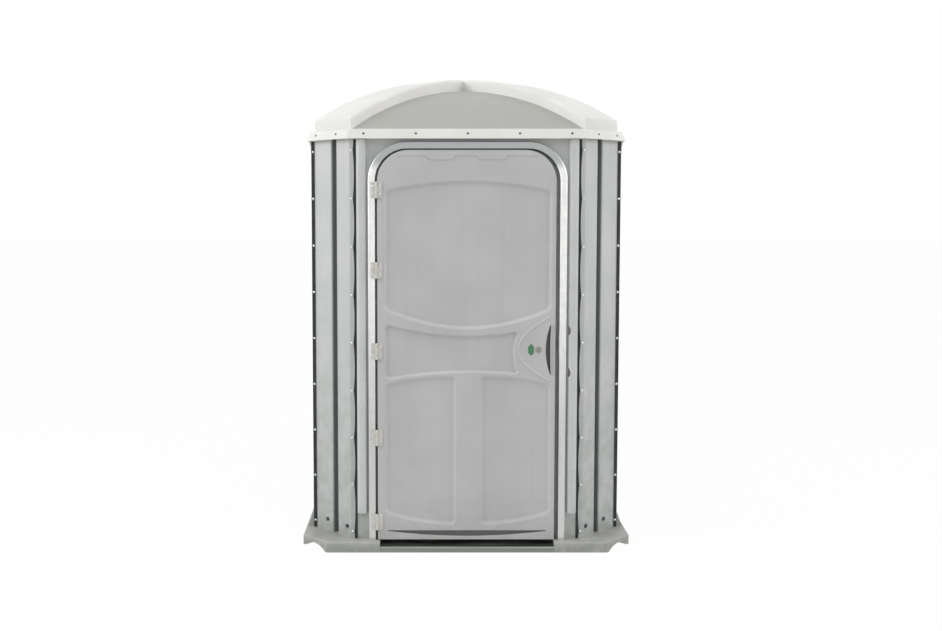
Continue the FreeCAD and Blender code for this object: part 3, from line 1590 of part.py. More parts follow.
def dispenser_body():
    """Back plate with two end cheeks, knuckles for the cover and seats for the roll rod."""
    back = dispenser_back()
    front = back + dispenser_depth
    sheet = dispenser_sheet
    plate = box((back, back + sheet), (-dispenser_half, dispenser_half), (dispenser_low, dispenser_high))
    pieces = [plate]
    for sign in (-1, 1):
        pieces.append(box((back, front), (sign * dispenser_half, sign * (dispenser_half - sheet)),
                          (dispenser_low + dispenser_mouth, dispenser_high)))
    hinge_x, hinge_z = dispenser_hinge()
    for sign in (-1, 1):
        start, end = sign * dispenser_half, sign * (dispenser_half - 24.0)
        pieces.append(rod(cover_knuckle, Vector(hinge_x, start, hinge_z), Vector(hinge_x, end, hinge_z)))
        pieces.append(box((back, hinge_x), (start, end), (dispenser_high - 2, hinge_z)))
    return fuse(pieces).cut([cover_bore(), roll_rod_solid(0.0)] + dispenser_screw_set())


def cover_bore():
    hinge_x, hinge_z = dispenser_hinge()
    return rod(cover_pin + 0.06, Vector(hinge_x, -dispenser_half - 1, hinge_z),
               Vector(hinge_x, dispenser_half + 1, hinge_z))


def cover_pin_piece():
    hinge_x, hinge_z = dispenser_hinge()
    return rod(cover_pin, Vector(hinge_x, -dispenser_half, hinge_z), Vector(hinge_x, dispenser_half, hinge_z))


def dispenser_cover():
    """Flap over the top and front of the rolls, hinged along its back edge."""
    hinge_x, hinge_z = dispenser_hinge()
    half = dispenser_half - 24.0 - cover_gap
    outer_half = dispenser_half
    front = dispenser_back() + dispenser_depth + cover_gap
    low = dispenser_high + cover_gap
    sheet = dispenser_sheet
    barrel = rod(cover_knuckle, Vector(hinge_x, -half, hinge_z), Vector(hinge_x, half, hinge_z))
    top = box((hinge_x, front + sheet), (-half, half), (low, low + sheet))
    brim = box((hinge_x + cover_knuckle + 6.0, front + sheet), (-outer_half, outer_half), (low, low + sheet))
    face = box((front, front + sheet), (-outer_half, outer_half), (low - cover_front, low + sheet))
    return fuse([barrel, top, brim, face]).cut(cover_bore())


def roll_rod_solid(fit):
    x, z = roll_centre()
    return rod(roll_core - roll_fit + fit, Vector(x, -dispenser_half, z), Vector(x, dispenser_half, z))


def roll_rod():
    x, z = roll_centre()
    bore = rod(roll_core - roll_fit - roll_rod_wall, Vector(x, -dispenser_half - 1, z),
               Vector(x, dispenser_half + 1, z))
    return roll_rod_solid(0.0).cut(bore)


def paper_roll(side):
    x, z = roll_centre()
    start = side * (dispenser_half - dispenser_sheet - 10.0)
    end = start - side * roll_width
    outer = rod(roll_radius, Vector(x, start, z), Vector(x, end, z))
    return outer.cut(rod(roll_core, Vector(x, start + side, z), Vector(x, end - side, z)))


def dispenser_screw_set():
    outward = Vector(1, 0, 0)
    foot_x = dispenser_back() + dispenser_sheet
    return [fastener(screw_radius, screw_head, screw_shank, screw_length, Vector(foot_x, y, z), outward)
            for y in (-110.0, 110.0) for z in (dispenser_low + 22, dispenser_high - 22)]


def coat_hook():
    """Plate on the right wall with an upturned rod."""
    face = wall_inner
    y = hook_place_y
    half_h = hook_plate_height / 2.0
    plate = box((face - hook_plate_thickness, face), (y - hook_plate_width / 2, y + hook_plate_width / 2),
                (hook_height - half_h, hook_height + half_h))
    root = Vector(face - 1, y, hook_height)
    path = [root, Vector(face - hook_reach, y, hook_height),
            Vector(face - hook_reach, y, hook_height + hook_reach)]
    wire = Part.Wire(Part.__sortEdges__(rounded_edges(path, lambda index: 3.0 * hook_rod)))
    ring = Part.Wire(Part.makeCircle(hook_rod, root, Vector(-1, 0, 0)))
    stem = wire.makePipeShell([ring], True, False)
    ball = Part.makeSphere(hook_rod * 1.6, Vector(face - hook_reach, y, hook_height + hook_reach))
    return fuse([plate, stem.common(box((0, face - 0.5), (y - 50, y + 50), (0, 2000))),
                 ball]).cut(hook_screw_set())


def hook_screw_set():
    inward = Vector(-1, 0, 0)
    foot_x = wall_inner - hook_plate_thickness
    return [fastener(screw_radius, screw_head, screw_shank, screw_length,
                     Vector(foot_x, hook_place_y, hook_height + z),
                     inward) for z in (-20.0, 20.0)]


def wall_fixings():
    """Screws that go into the side and rear walls from the room."""
    return bar_screws() + dispenser_screw_set() + hook_screw_set()


def nodes():
    """Every named piece of the cabin."""
    corner = corner_panel()
    rear_corner = mirrored_y(corner)
    plain_post, notched_post = front_post()
    side_blank = side_wall_blank()
    return {
        "base_pan": base_pan().cut(threshold_screw_set() + tank_screw_set()),
        "threshold_plate": threshold_plate(),
        "threshold_screws": group(threshold_screw_set()),
        "corner_panel_front_left": corner,
        "corner_panel_front_right": mirrored_x(corner),
        "corner_panel_rear_left": rear_corner,
        "corner_panel_rear_right": mirrored_x(rear_corner),
        "front_panel": front_panel(),
        "side_wall_left": drilled_wall(side_blank, 90),
        "side_wall_right": drilled_wall(mirrored_x(side_blank), 270),
        "rear_wall": drilled_wall(rear_wall_blank(), 0),
        "seam_rivets": group(four_corners(corner_rivets())),
        "seam_strips": group(four_corners(corner_strips())),
        "base_bolts": group(four_corners(bolt_shanks())),
        "wall_vents": group(wall_vents()),
        "roof": roof(),
        "roof_screws": group(straight_roof_screws() + all_chamfer_roof_screws()),
        "vent_pipe": vent_pipe(),
        "vent_collar": vent_collar(),
        "vent_cap": vent_cap(),
        "door_frame": door_frame(),
        "front_post_left": mirrored_x(plain_post),
        "front_post_right": notched_post,
        "strike_plate": strike_plate(),
        "frame_screws": group(frame_screw_set()),
        "door_seal": door_seal(),
        "hinge_frame_leaves": group([hinge_leaf_piece(height, -1) for height in hinge_heights]),
        "hinge_door_leaves": group([hinge_leaf_piece(height, 1) for height in hinge_heights]),
        "hinge_pins": group([hinge_pin_piece(height) for height in hinge_heights]),
        "door_screws": group(door_screw_set()),
        "door_outer_skin": door_outer_skin(),
        "door_inner_skin": door_inner_skin(),
        "grip_insert": grip_insert(),
        "indicator_window": indicator_window(),
        "latch_case": latch_case(),
        "latch_spindle": latch_spindle(),
        "latch_pinion": latch_pinion(),
        "latch_lever": latch_lever(),
        "indicator_disc": indicator_disc(),
        "latch_bolt": latch_bolt(),
        "inner_pull": inner_pull(),
        "waste_tank": waste_tank(),
        "tank_screws": group(tank_screw_set()),
        "seat_bracket": seat_bracket(),
        "seat_bracket_screws": group(seat_bracket_screws()),
        "seat_pin": seat_pin_piece(),
        "seat_ring": seat_ring(),
        "seat_lid": seat_lid(),
        "grab_bar_side": grab_bar(side_bar_ends, side_bar_height, 90.0),
        "grab_bar_rear": grab_bar(rear_bar_ends, rear_bar_height, 0.0),
        "grab_bar_flanges": group(bar_flanges()),
        "grab_bar_screws": group(bar_screws()),
        "dispenser_body": dispenser_body(),
        "dispenser_screws": group(dispenser_screw_set()),
        "dispenser_cover": dispenser_cover(),
        "dispenser_pin": cover_pin_piece(),
        "roll_rod": roll_rod(),
        "paper_roll_front": paper_roll(-1),
        "paper_roll_rear": paper_roll(1),
        "coat_hook": coat_hook(),
    }


def main():
    os.makedirs("parts", exist_ok=True)
    for name, shape in nodes().items():
        if not shape.isValid():
            print("invalid:", name)
        print(name, "solids", len(shape.Solids), "volume", round(shape.Volume / 1000.0, 1), "cm3")
        shape.exportStep("parts/" + name + ".step")


main()
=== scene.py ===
import logging
import math
from dataclasses import dataclass, field
from enum import Enum

import bmesh
import bpy
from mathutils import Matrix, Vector


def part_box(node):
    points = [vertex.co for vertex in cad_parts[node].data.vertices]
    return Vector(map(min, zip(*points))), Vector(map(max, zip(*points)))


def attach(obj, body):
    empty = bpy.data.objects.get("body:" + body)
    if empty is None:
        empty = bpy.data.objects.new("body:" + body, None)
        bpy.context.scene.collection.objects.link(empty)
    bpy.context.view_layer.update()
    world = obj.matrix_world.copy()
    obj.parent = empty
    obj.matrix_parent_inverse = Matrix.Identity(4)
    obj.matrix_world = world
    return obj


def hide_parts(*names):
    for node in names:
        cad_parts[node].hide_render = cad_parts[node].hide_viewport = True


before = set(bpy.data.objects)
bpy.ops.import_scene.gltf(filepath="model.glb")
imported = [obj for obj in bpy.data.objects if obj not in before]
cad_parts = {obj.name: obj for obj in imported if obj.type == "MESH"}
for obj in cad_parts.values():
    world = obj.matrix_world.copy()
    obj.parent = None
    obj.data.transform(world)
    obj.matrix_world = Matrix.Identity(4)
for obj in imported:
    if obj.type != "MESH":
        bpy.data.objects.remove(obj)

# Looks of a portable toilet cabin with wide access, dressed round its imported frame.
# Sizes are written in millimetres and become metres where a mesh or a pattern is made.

log = logging.getLogger("cabin")

MM = 0.001
PHOTO_WIDTH = 942.0
PHOTO_HEIGHT = 631.0
SENSOR_WIDTH = 36.0
SHARP_ANGLE = math.radians(38.0)
# The wave texture multiplies its coordinates by this before it takes the sine.
WAVE_SCALE = 20.0

Colour = tuple[float, float, float, float]
Place = tuple[float, float]


def linear(hex_colour: str) -> Colour:
    """Turns an sRGB hex colour into linear light.

    Args:
        hex_colour: Six hex digits after a hash sign.

    Returns:
        Red, green, blue and an alpha of one.
    """
    parts = [int(hex_colour[start:start + 2], 16) / 255.0 for start in (1, 3, 5)]
    red, green, blue = [c / 12.92 if c <= 0.04045 else ((c + 0.055) / 1.055) ** 2.4 for c in parts]
    return red, green, blue, 1.0


def per_metre(size_mm: float) -> float:
    """Pattern scale that repeats about once in a length given in millimetres."""
    return 1.0 / (size_mm * MM)


def add_node(tree: bpy.types.NodeTree, kind: str, inputs: dict | None = None, **settings) -> bpy.types.Node:
    """Adds a node, applies its settings and fills or links its inputs.

    Args:
        tree: Node tree that gets the node.
        kind: Blender's name for the node's type.
        inputs: Input name or number against a value or an output socket.
        **settings: Properties set on the node itself.

    Returns:
        The new node.
    """
    made = tree.nodes.new(kind)
    for name, value in settings.items():
        setattr(made, name, value)
    for name, value in (inputs or {}).items():
        if isinstance(value, bpy.types.NodeSocket):
            tree.links.new(value, made.inputs[name])
        else:
            made.inputs[name].default_value = value
    return made


class Grain(Enum):
    """How a surface was made, which gives its finest relief."""

    PEBBLED = "moulded against a blasted tool"
    DRAWN = "drawn or brushed along one direction"
    SPANGLED = "zinc crystals or a tumbled metal"
    FIBROUS = "pressed fibres"
    SMOOTH = "polished tool"


@dataclass(frozen=True)
class Finish:
    """A surface with two close tones, a range of roughness and a fine relief.

    Patterns are sized in millimetres on the object itself, so they hold in every view.
    """

    name: str
    tones: tuple[str, str]
    roughness: tuple[float, float]
    grain: Grain = Grain.PEBBLED
    grain_mm: float = 2.0
    relief_mm: float = 0.05
    blotch_mm: float = 90.0
    metallic: float = 0.0
    ior: float = 1.5
    alpha: float = 1.0
    coat: float = 0.0
    stretch: tuple[float, float, float] = (1.0, 1.0, 1.0)

    def material(self) -> bpy.types.Material:
        """Returns this finish's material, made the first time it is asked for."""
        known = bpy.data.materials.get(self.name)
        if known:
            return known
        made = bpy.data.materials.new(self.name)
        made.use_nodes = True
        tree = made.node_tree
        tree.nodes.clear()
        place = add_node(tree, "ShaderNodeTexCoord").outputs["Object"]
        values = {"Base Color": self.colour(tree, place), "Roughness": self.rough(tree, place),
                  "Normal": self.relief(tree, place), "Metallic": self.metallic}
        if not self.metallic:
            values["IOR"] = self.ior
        if self.coat:
            values["Coat Weight"] = self.coat
        if self.alpha < 1.0:
            values["Alpha"] = self.alpha
        shader = add_node(tree, "ShaderNodeBsdfPrincipled", values)
        add_node(tree, "ShaderNodeOutputMaterial", {"Surface": self.surface(tree, shader.outputs[0], place)})
        return made

    def surface(self, tree: bpy.types.NodeTree, shader: bpy.types.NodeSocket,
                place: bpy.types.NodeSocket) -> bpy.types.NodeSocket:
        """What goes to the output: the plain shader, unless a finish adds to it."""
        return shader

    def noise(self, tree: bpy.types.NodeTree, place: bpy.types.NodeSocket, size_mm: float, detail: float = 3.0,
              stretch: tuple[float, float, float] = (1.0, 1.0, 1.0)) -> bpy.types.NodeSocket:
        """Soft noise of a size in millimetres, drawn out along the axes by the stretch.

        Args:
            tree: Node tree of the material.
            place: Coordinates the noise reads.
            size_mm: Distance between its features.
            detail: Octaves of finer noise.
            stretch: How much longer than wide a feature is along each axis.

        Returns:
            The noise's value between zero and one.
        """
        scale = [1.0 / value for value in stretch]
        moved = add_node(tree, "ShaderNodeMapping", {"Vector": place, "Scale": scale}).outputs[0]
        return add_node(tree, "ShaderNodeTexNoise",
                        {"Vector": moved, "Scale": per_metre(size_mm), "Detail": detail}).outputs[0]

    def remap(self, tree: bpy.types.NodeTree, value: bpy.types.NodeSocket, source: Place,
              target: Place) -> bpy.types.NodeSocket:
        """Carries a value from one range to another with a soft start and end."""
        return add_node(tree, "ShaderNodeMapRange",
                        {"Value": value, "From Min": source[0], "From Max": source[1], "To Min": target[0],
                         "To Max": target[1]}, interpolation_type="SMOOTHSTEP").outputs[0]

    def blend(self, tree: bpy.types.NodeTree, share: bpy.types.NodeSocket, first: object,
              second: object) -> bpy.types.NodeSocket:
        """Mixes two colours, which are sockets or linear values, by a share."""
        return add_node(tree, "ShaderNodeMix", {0: share, 6: first, 7: second}, data_type="RGBA").outputs[2]

    def colour(self, tree: bpy.types.NodeTree, place: bpy.types.NodeSocket) -> bpy.types.NodeSocket:
        """Slow drift between the two tones."""
        drift = self.remap(tree, self.noise(tree, place, self.blotch_mm, 4.0, self.stretch), (0.3, 0.7), (0.0, 1.0))
        return self.blend(tree, drift, linear(self.tones[0]), linear(self.tones[1]))

    def rough(self, tree: bpy.types.NodeTree, place: bpy.types.NodeSocket) -> bpy.types.NodeSocket:
        """Roughness that wanders over its range, as handling and rain leave it."""
        wander = self.noise(tree, place, self.blotch_mm / 3.0, 5.0, self.stretch)
        return self.remap(tree, wander, (0.3, 0.7), self.roughness)

    def relief(self, tree: bpy.types.NodeTree, place: bpy.types.NodeSocket) -> bpy.types.NodeSocket:
        """Finest relief of the surface as a normal."""
        if self.grain is Grain.SPANGLED:
            height = add_node(tree, "ShaderNodeTexVoronoi", {"Vector": place, "Scale": per_metre(self.grain_mm)},
                              feature="SMOOTH_F1").outputs[0]
        elif self.grain is Grain.DRAWN:
            height = self.noise(tree, place, self.grain_mm, 3.0, self.stretch)
        elif self.grain is Grain.FIBROUS:
            height = self.noise(tree, place, self.grain_mm, 8.0, (1.0, 3.0, 1.0))
        else:
            height = self.noise(tree, place, self.grain_mm, 2.0)
        return add_node(tree, "ShaderNodeBump",
                        {"Height": height, "Strength": 0.6, "Distance": self.relief_mm * MM}).outputs[0]


@dataclass(frozen=True)
class WeatheredPlastic(Finish):
    """Outdoor moulded sheet: rain leaves faint upright streaks, and its foot is darkened by splashed soil, with
    painted shade where the darkening reaches high.
    """

    streak_mm: float = 26.0
    streak_tone: str = "#8f9491"
    streak_share: float = 0.16
    soil_and_shade_tone: str = "#7d8079"
    soil_and_shade_height_mm: float = 330.0
    soil_and_shade_share: float = 0.4

    def colour(self, tree: bpy.types.NodeTree, place: bpy.types.NodeSocket) -> bpy.types.NodeSocket:
        """Drifting tone with streaks, and a darkening of soil and painted shade that thins out above the ground."""
        clean = super().colour(tree, place)
        drips = self.noise(tree, place, self.streak_mm, 3.0, (1.0, 1.0, 30.0))
        streaks = self.remap(tree, drips, (0.5, 0.75), (0.0, self.streak_share))
        streaked = self.blend(tree, streaks, clean, linear(self.streak_tone))
        height = add_node(tree, "ShaderNodeSeparateXYZ", {0: place}).outputs["Z"]
        # Darkening near the ground: splashed soil low down, painted shade where it reaches high up a wall.
        near_ground = self.remap(tree, height, (self.soil_and_shade_height_mm * MM, 0.0), (0.0, self.soil_and_shade_share))
        patches = self.remap(tree, self.noise(tree, place, self.streak_mm * 2.0, 5.0), (0.35, 0.65), (0.4, 1.0))
        soil_and_shade = add_node(tree, "ShaderNodeMath", {0: near_ground, 1: patches}, operation="MULTIPLY").outputs[0]
        return self.blend(tree, soil_and_shade, streaked, linear(self.soil_and_shade_tone))


@dataclass(frozen=True)
class GroovedWall(WeatheredPlastic):
    """Wall sheet with painted shade in its outer grooves, which leaves them darker than the lands between them."""

    painted_shade_tone: str = "#59605e"
    painted_shade_share: float = 0.78
    land_mm: float = 728.0
    groove_mm: float = 718.0
    chamfer_shift_mm: float = 179.6
    inward_facing: Place = (-0.62, -0.5)

    def colour(self, tree: bpy.types.NodeTree, place: bpy.types.NodeSocket) -> bpy.types.NodeSocket:
        """Weathered tone with painted shade in the grooves on the outside only, told apart by where the surface
        faces.
        """
        washed = super().colour(tree, place)
        axes = add_node(tree, "ShaderNodeSeparateXYZ", {0: place}).outputs
        sides = [add_node(tree, "ShaderNodeMath", {0: axes[axis]}, operation="ABSOLUTE").outputs[0]
                 for axis in ("X", "Y")]
        both = add_node(tree, "ShaderNodeMath", {0: sides[0], 1: sides[1]}, operation="ADD").outputs[0]
        chamfer = add_node(tree, "ShaderNodeMath", {0: both, 1: math.sqrt(0.5), 2: -self.chamfer_shift_mm * MM},
                           operation="MULTIPLY_ADD").outputs[0]
        straight = add_node(tree, "ShaderNodeMath", {0: sides[0], 1: sides[1]}, operation="MAXIMUM").outputs[0]
        reach = add_node(tree, "ShaderNodeMath", {0: straight, 1: chamfer}, operation="MAXIMUM").outputs[0]
        # Painted shade in the grooves, which lie deeper than the lands.
        deep = self.remap(tree, reach, (self.land_mm * MM, self.groove_mm * MM), (0.0, self.painted_shade_share))
        facing = add_node(tree, "ShaderNodeVectorMath",
                          {0: place, 1: add_node(tree, "ShaderNodeTexCoord").outputs["Normal"]},
                          operation="DOT_PRODUCT").outputs["Value"]
        outside = self.remap(tree, facing, self.inward_facing, (0.0, 1.0))
        groove_shade = add_node(tree, "ShaderNodeMath", {0: deep, 1: outside}, operation="MULTIPLY").outputs[0]
        return self.blend(tree, groove_shade, washed, linear(self.painted_shade_tone))


@dataclass(frozen=True)
class HollowedPlastic(WeatheredPlastic):
    """Moulded sheet with painted shade in a hollow of its front."""

    painted_shade_tone: str = "#3a3e3b"
    painted_shade_share: float = 0.85
    depths_mm: Place = (-753.0, -750.0)
    below_mm: float = 101.0
    half_width_mm: float = 378.0
    edge_mm: float = 1.0

    def colour(self, tree: bpy.types.NodeTree, place: bpy.types.NodeSocket) -> bpy.types.NodeSocket:
        """Weathered tone, with painted shade that deepens with the depth of the hollow."""
        washed = super().colour(tree, place)
        axes = add_node(tree, "ShaderNodeSeparateXYZ", {0: place}).outputs
        aside = add_node(tree, "ShaderNodeMath", {0: axes["X"]}, operation="ABSOLUTE").outputs[0]
        # Painted shade that grows with the depth behind the door's front.
        deep = self.remap(tree, axes["Y"], tuple(depth * MM for depth in self.depths_mm), (0.0, self.painted_shade_share))
        for value, limit in ((axes["Z"], self.below_mm), (aside, self.half_width_mm)):
            within = self.remap(tree, value, (limit * MM, (limit - self.edge_mm) * MM), (0.0, 1.0))
            deep = add_node(tree, "ShaderNodeMath", {0: deep, 1: within}, operation="MULTIPLY").outputs[0]
        return self.blend(tree, deep, washed, linear(self.painted_shade_tone))


@dataclass(frozen=True)
class RoofSheet(Finish):
    """Thin white sheet that passes some daylight, with painted shade that makes its panels greyer than the stout ribs
    and rim.
    """

    # Painted shade on the panels.
    panel_painted_shade_tone: str = "#b9b8b3"
    rib_half_mm: float = 130.1
    rib_blend_mm: float = 7.0
    rim_top_mm: float = 1987.0
    passes: float = 0.22

    def panel_shade_mask(self, tree: bpy.types.NodeTree, place: bpy.types.NodeSocket) -> bpy.types.NodeSocket:
        """One on the panels between the crossing ribs and above the rim, where the shade is painted, zero elsewhere.
        """
        axes = add_node(tree, "ShaderNodeSeparateXYZ", {0: place}).outputs
        sides = [add_node(tree, "ShaderNodeMath", {0: axes[axis]}, operation="ABSOLUTE").outputs[0]
                 for axis in ("X", "Y")]
        apart = add_node(tree, "ShaderNodeMath", {0: sides[0], 1: sides[1]}, operation="SUBTRACT").outputs[0]
        off_rib = add_node(tree, "ShaderNodeMath", {0: apart}, operation="ABSOLUTE").outputs[0]
        edge = self.rib_half_mm * math.sqrt(2.0) * MM
        between = self.remap(tree, off_rib, (edge, edge + self.rib_blend_mm * MM), (0.0, 1.0))
        rim = self.rim_top_mm * MM
        above = self.remap(tree, axes["Z"], (rim + 0.5 * MM, rim + self.rib_blend_mm * MM), (0.0, 1.0))
        return add_node(tree, "ShaderNodeMath", {0: between, 1: above}, operation="MULTIPLY").outputs[0]

    def colour(self, tree: bpy.types.NodeTree, place: bpy.types.NodeSocket) -> bpy.types.NodeSocket:
        """White, with painted shade on the panels."""
        return self.blend(tree, self.panel_shade_mask(tree, place), super().colour(tree, place), linear(self.panel_painted_shade_tone))

    def surface(self, tree: bpy.types.NodeTree, shader: bpy.types.NodeSocket,
                place: bpy.types.NodeSocket) -> bpy.types.NodeSocket:
        """Lets a share of the light through to the room."""
        glow = add_node(tree, "ShaderNodeBsdfTranslucent", {"Color": linear(self.tones[0])}).outputs[0]
        return add_node(tree, "ShaderNodeMixShader", {0: self.passes, 1: shader, 2: glow}).outputs[0]


@dataclass(frozen=True)
class DrawnMetal(Finish):
    """Drawn metal whose die lines run up the uprights and turn along the top member."""

    turn_height_mm: float = 1790.0
    turn_blend_mm: float = 60.0
    lines_mm: float = 3.0
    lines_stretch: float = 40.0
    # Painted shade on the top member: a greyer tone standing in for the dimmer reflection of its level die lines.
    top_painted_shade_tone: str = "#a6a9aa"
    top_share: float = 0.9
    # Painted shade towards the foot of the uprights.
    foot_painted_shade_tone: str = "#b3b5b3"
    foot_painted_shade_share: float = 0.65
    foot_mm: Place = (1350.0, 500.0)

    def turned(self, tree: bpy.types.NodeTree, place: bpy.types.NodeSocket) -> bpy.types.NodeSocket:
        """One on the top member, zero on the uprights."""
        height = add_node(tree, "ShaderNodeSeparateXYZ", {0: place}).outputs["Z"]
        start = self.turn_height_mm * MM
        return self.remap(tree, height, (start, start + self.turn_blend_mm * MM), (0.0, 1.0))

    def lines(self, tree: bpy.types.NodeTree, place: bpy.types.NodeSocket, size_mm: float) -> bpy.types.NodeSocket:
        """Noise drawn out upright below the corners and level above them."""
        upright = self.noise(tree, place, size_mm, 3.0, (1.0, 1.0, self.lines_stretch))
        level = self.noise(tree, place, size_mm, 3.0, (self.lines_stretch, 1.0, 1.0))
        return add_node(tree, "ShaderNodeMix", {0: self.turned(tree, place), 2: upright, 3: level},
                        data_type="FLOAT").outputs[0]

    def colour(self, tree: bpy.types.NodeTree, place: bpy.types.NodeSocket) -> bpy.types.NodeSocket:
        """Cloudy oxide over the die lines, with painted shade that darkens it towards the foot and on the top member.
        """
        clouds = self.noise(tree, place, self.blotch_mm, 5.0)
        both = add_node(tree, "ShaderNodeMath", {0: clouds, 1: self.lines(tree, place, self.lines_mm)},
                        operation="ADD").outputs[0]
        share = self.remap(tree, both, (0.75, 1.25), (0.0, 1.0))
        cloudy = self.blend(tree, share, linear(self.tones[0]), linear(self.tones[1]))
        height = add_node(tree, "ShaderNodeSeparateXYZ", {0: place}).outputs["Z"]
        start, end = [limit * MM for limit in self.foot_mm]
        foot_shade = self.remap(tree, height, (start, end), (0.0, self.foot_painted_shade_share))
        upright = self.blend(tree, foot_shade, cloudy, linear(self.foot_painted_shade_tone))
        # Painted shade over the top member.
        top = add_node(tree, "ShaderNodeMath", {0: self.turned(tree, place), 1: self.top_share}, operation="MULTIPLY")
        return self.blend(tree, top.outputs[0], upright, linear(self.top_painted_shade_tone))

    def relief(self, tree: bpy.types.NodeTree, place: bpy.types.NodeSocket) -> bpy.types.NodeSocket:
        """Fine die lines."""
        return add_node(tree, "ShaderNodeBump", {"Height": self.lines(tree, place, self.grain_mm), "Strength": 0.5,
                                                 "Distance": self.relief_mm * MM}).outputs[0]


@dataclass(frozen=True)
class TwoColourDisc(Finish):
    """Printed disc behind the window: one colour shows when the latch is open, the other when it is shut."""

    shut_tone: str = "#b3261e"
    spindle_mm: Place = (334.0, 959.0)
    split_blend_mm: float = 0.4

    def colour(self, tree: bpy.types.NodeTree, place: bpy.types.NodeSocket) -> bpy.types.NodeSocket:
        """Splits the disc along a diagonal through its spindle."""
        axes = add_node(tree, "ShaderNodeSeparateXYZ", {0: place}).outputs
        across = add_node(tree, "ShaderNodeMath", {0: axes["X"], 1: axes["Z"]}, operation="SUBTRACT").outputs[0]
        split = (self.spindle_mm[0] - self.spindle_mm[1]) * MM
        blend = self.split_blend_mm * MM
        side = self.remap(tree, across, (split - blend, split + blend), (0.0, 1.0))
        return self.blend(tree, side, super().colour(tree, place), linear(self.shut_tone))


@dataclass(frozen=True)
class WoundPaper(Finish):
    """Tissue wound in a roll, whose ends show its layers as rings."""

    axis_mm: Place = (-632.0, 564.0)
    layer_mm: float = 1.6

    def relief(self, tree: bpy.types.NodeTree, place: bpy.types.NodeSocket) -> bpy.types.NodeSocket:
        """Rings round the roll's axis over the tissue's own fibres. Layers are drawn coarse enough to show."""
        centre = (-self.axis_mm[0] * MM, 0.0, -self.axis_mm[1] * MM)
        moved = add_node(tree, "ShaderNodeMapping", {"Vector": place, "Location": centre, "Scale": (1.0, 0.0, 1.0)})
        rings = add_node(tree, "ShaderNodeTexWave",
                         {"Vector": moved.outputs[0], "Scale": per_metre(self.layer_mm) / WAVE_SCALE,
                          "Distortion": 1.5, "Detail": 2.0},
                         wave_type="RINGS", rings_direction="SPHERICAL").outputs[1]
        first = add_node(tree, "ShaderNodeBump", {"Height": rings, "Strength": 0.5, "Distance": 0.3 * MM}).outputs[0]
        fibres = self.noise(tree, place, self.grain_mm, 8.0)
        return add_node(tree, "ShaderNodeBump", {"Height": fibres, "Strength": 0.5, "Distance": self.relief_mm * MM,
                                                 "Normal": first}).outputs[0]


# Textured polyethylene sheet: soft broad shine over a slight orange peel, streaked by rain; painted shade darkens its
# outer grooves and its lowest 1.5 m.
WALL_SHEET = GroovedWall("polyethylene_wall_sheet", ("#cacbca", "#c2c4c2"), (0.36, 0.5), grain_mm=3.0,
                         relief_mm=0.08, blotch_mm=220.0, streak_share=0.1, soil_and_shade_height_mm=1500.0)
# The same sheet on the doorway's posts, handled more and so a little smoother, and a little lighter as a painted
# highlight on their beads.
POST_SHEET = WeatheredPlastic("polyethylene_post", ("#d0d2d0", "#c8cac8"), (0.26, 0.4), grain_mm=3.0,
                              relief_mm=0.05, blotch_mm=160.0, streak_share=0.08)
# Twin-sheet thermoformed polyethylene: even grey, silky, with a pebbled skin.
DOOR_SHEET = WeatheredPlastic("polyethylene_door_sheet", ("#c4c4c4", "#bdbdbd"), (0.34, 0.46), grain_mm=2.6,
                              relief_mm=0.07, blotch_mm=260.0, streak_share=0.05, soil_and_shade_share=0.22)
# The same sheet on the door's face, with painted shade in the groove above its foot.
DOOR_FACE = HollowedPlastic("polyethylene_door_face", ("#c4c4c4", "#bdbdbd"), (0.34, 0.46), grain_mm=2.6,
                            relief_mm=0.07, blotch_mm=260.0, streak_share=0.05, soil_and_shade_share=0.22)
# The same sheet in the finger grip, a little darker, with painted shade deep in its hollow.
GRIP_SHEET = HollowedPlastic("polyethylene_grip", ("#b9bab8", "#b1b2b0"), (0.3, 0.44), grain_mm=2.6, relief_mm=0.07,
                             blotch_mm=120.0, painted_shade_tone="#3f4440", depths_mm=(-752.0, -742.0), below_mm=1200.0,
                             half_width_mm=500.0)
# Rotationally moulded polyethylene: dull and scuffed, darker near the ground with dust and painted shade.
BASE_PLASTIC = WeatheredPlastic("rotomoulded_polyethylene_base", ("#b9bab6", "#adaea9"), (0.45, 0.62), grain_mm=2.0,
                                relief_mm=0.12, blotch_mm=70.0, soil_and_shade_tone="#6f736a", soil_and_shade_height_mm=90.0,
                                soil_and_shade_share=0.5)
# Thin translucent polyethylene roof sheet: bright ribs and rim, panels greyed by painted shade.
ROOF_SHEET = RoofSheet("translucent_polyethylene_roof", ("#f9f8f5", "#f2f1ee"), (0.32, 0.45), grain_mm=4.0,
                       relief_mm=0.08, blotch_mm=200.0)
# Mill-finish aluminium extrusion: bright with cloudy oxide and fine die lines, greyed by painted shade on its top
# member and towards its foot.
MILL_ALUMINIUM = DrawnMetal("mill_finish_aluminium", ("#f6f6f4", "#e6e7e6"), (0.34, 0.5), Grain.DRAWN, 1.2, 0.02,
                            34.0, 1.0)
# Trodden aluminium sill: the same metal scratched dull along its length and dirtied.
SILL_ALUMINIUM = Finish("trodden_aluminium", ("#a3a79f", "#83877e"), (0.35, 0.6), Grain.DRAWN, 1.5, 0.05, 40.0, 1.0,
                        stretch=(30.0, 1.0, 1.0))
# Ivory glass-filled nylon: semi-gloss with mottled fibres under the skin.
IVORY_NYLON = Finish("ivory_nylon", ("#dad8d1", "#c8c5bd"), (0.3, 0.45), Grain.PEBBLED, 1.2, 0.04, 9.0)
# Zinc-plated steel: bright grey with a faint spangle.
ZINC_STEEL = Finish("zinc_plated_steel", ("#dcdedf", "#b7bcc0"), (0.22, 0.4), Grain.SPANGLED, 2.0, 0.03, 5.0, 1.0)
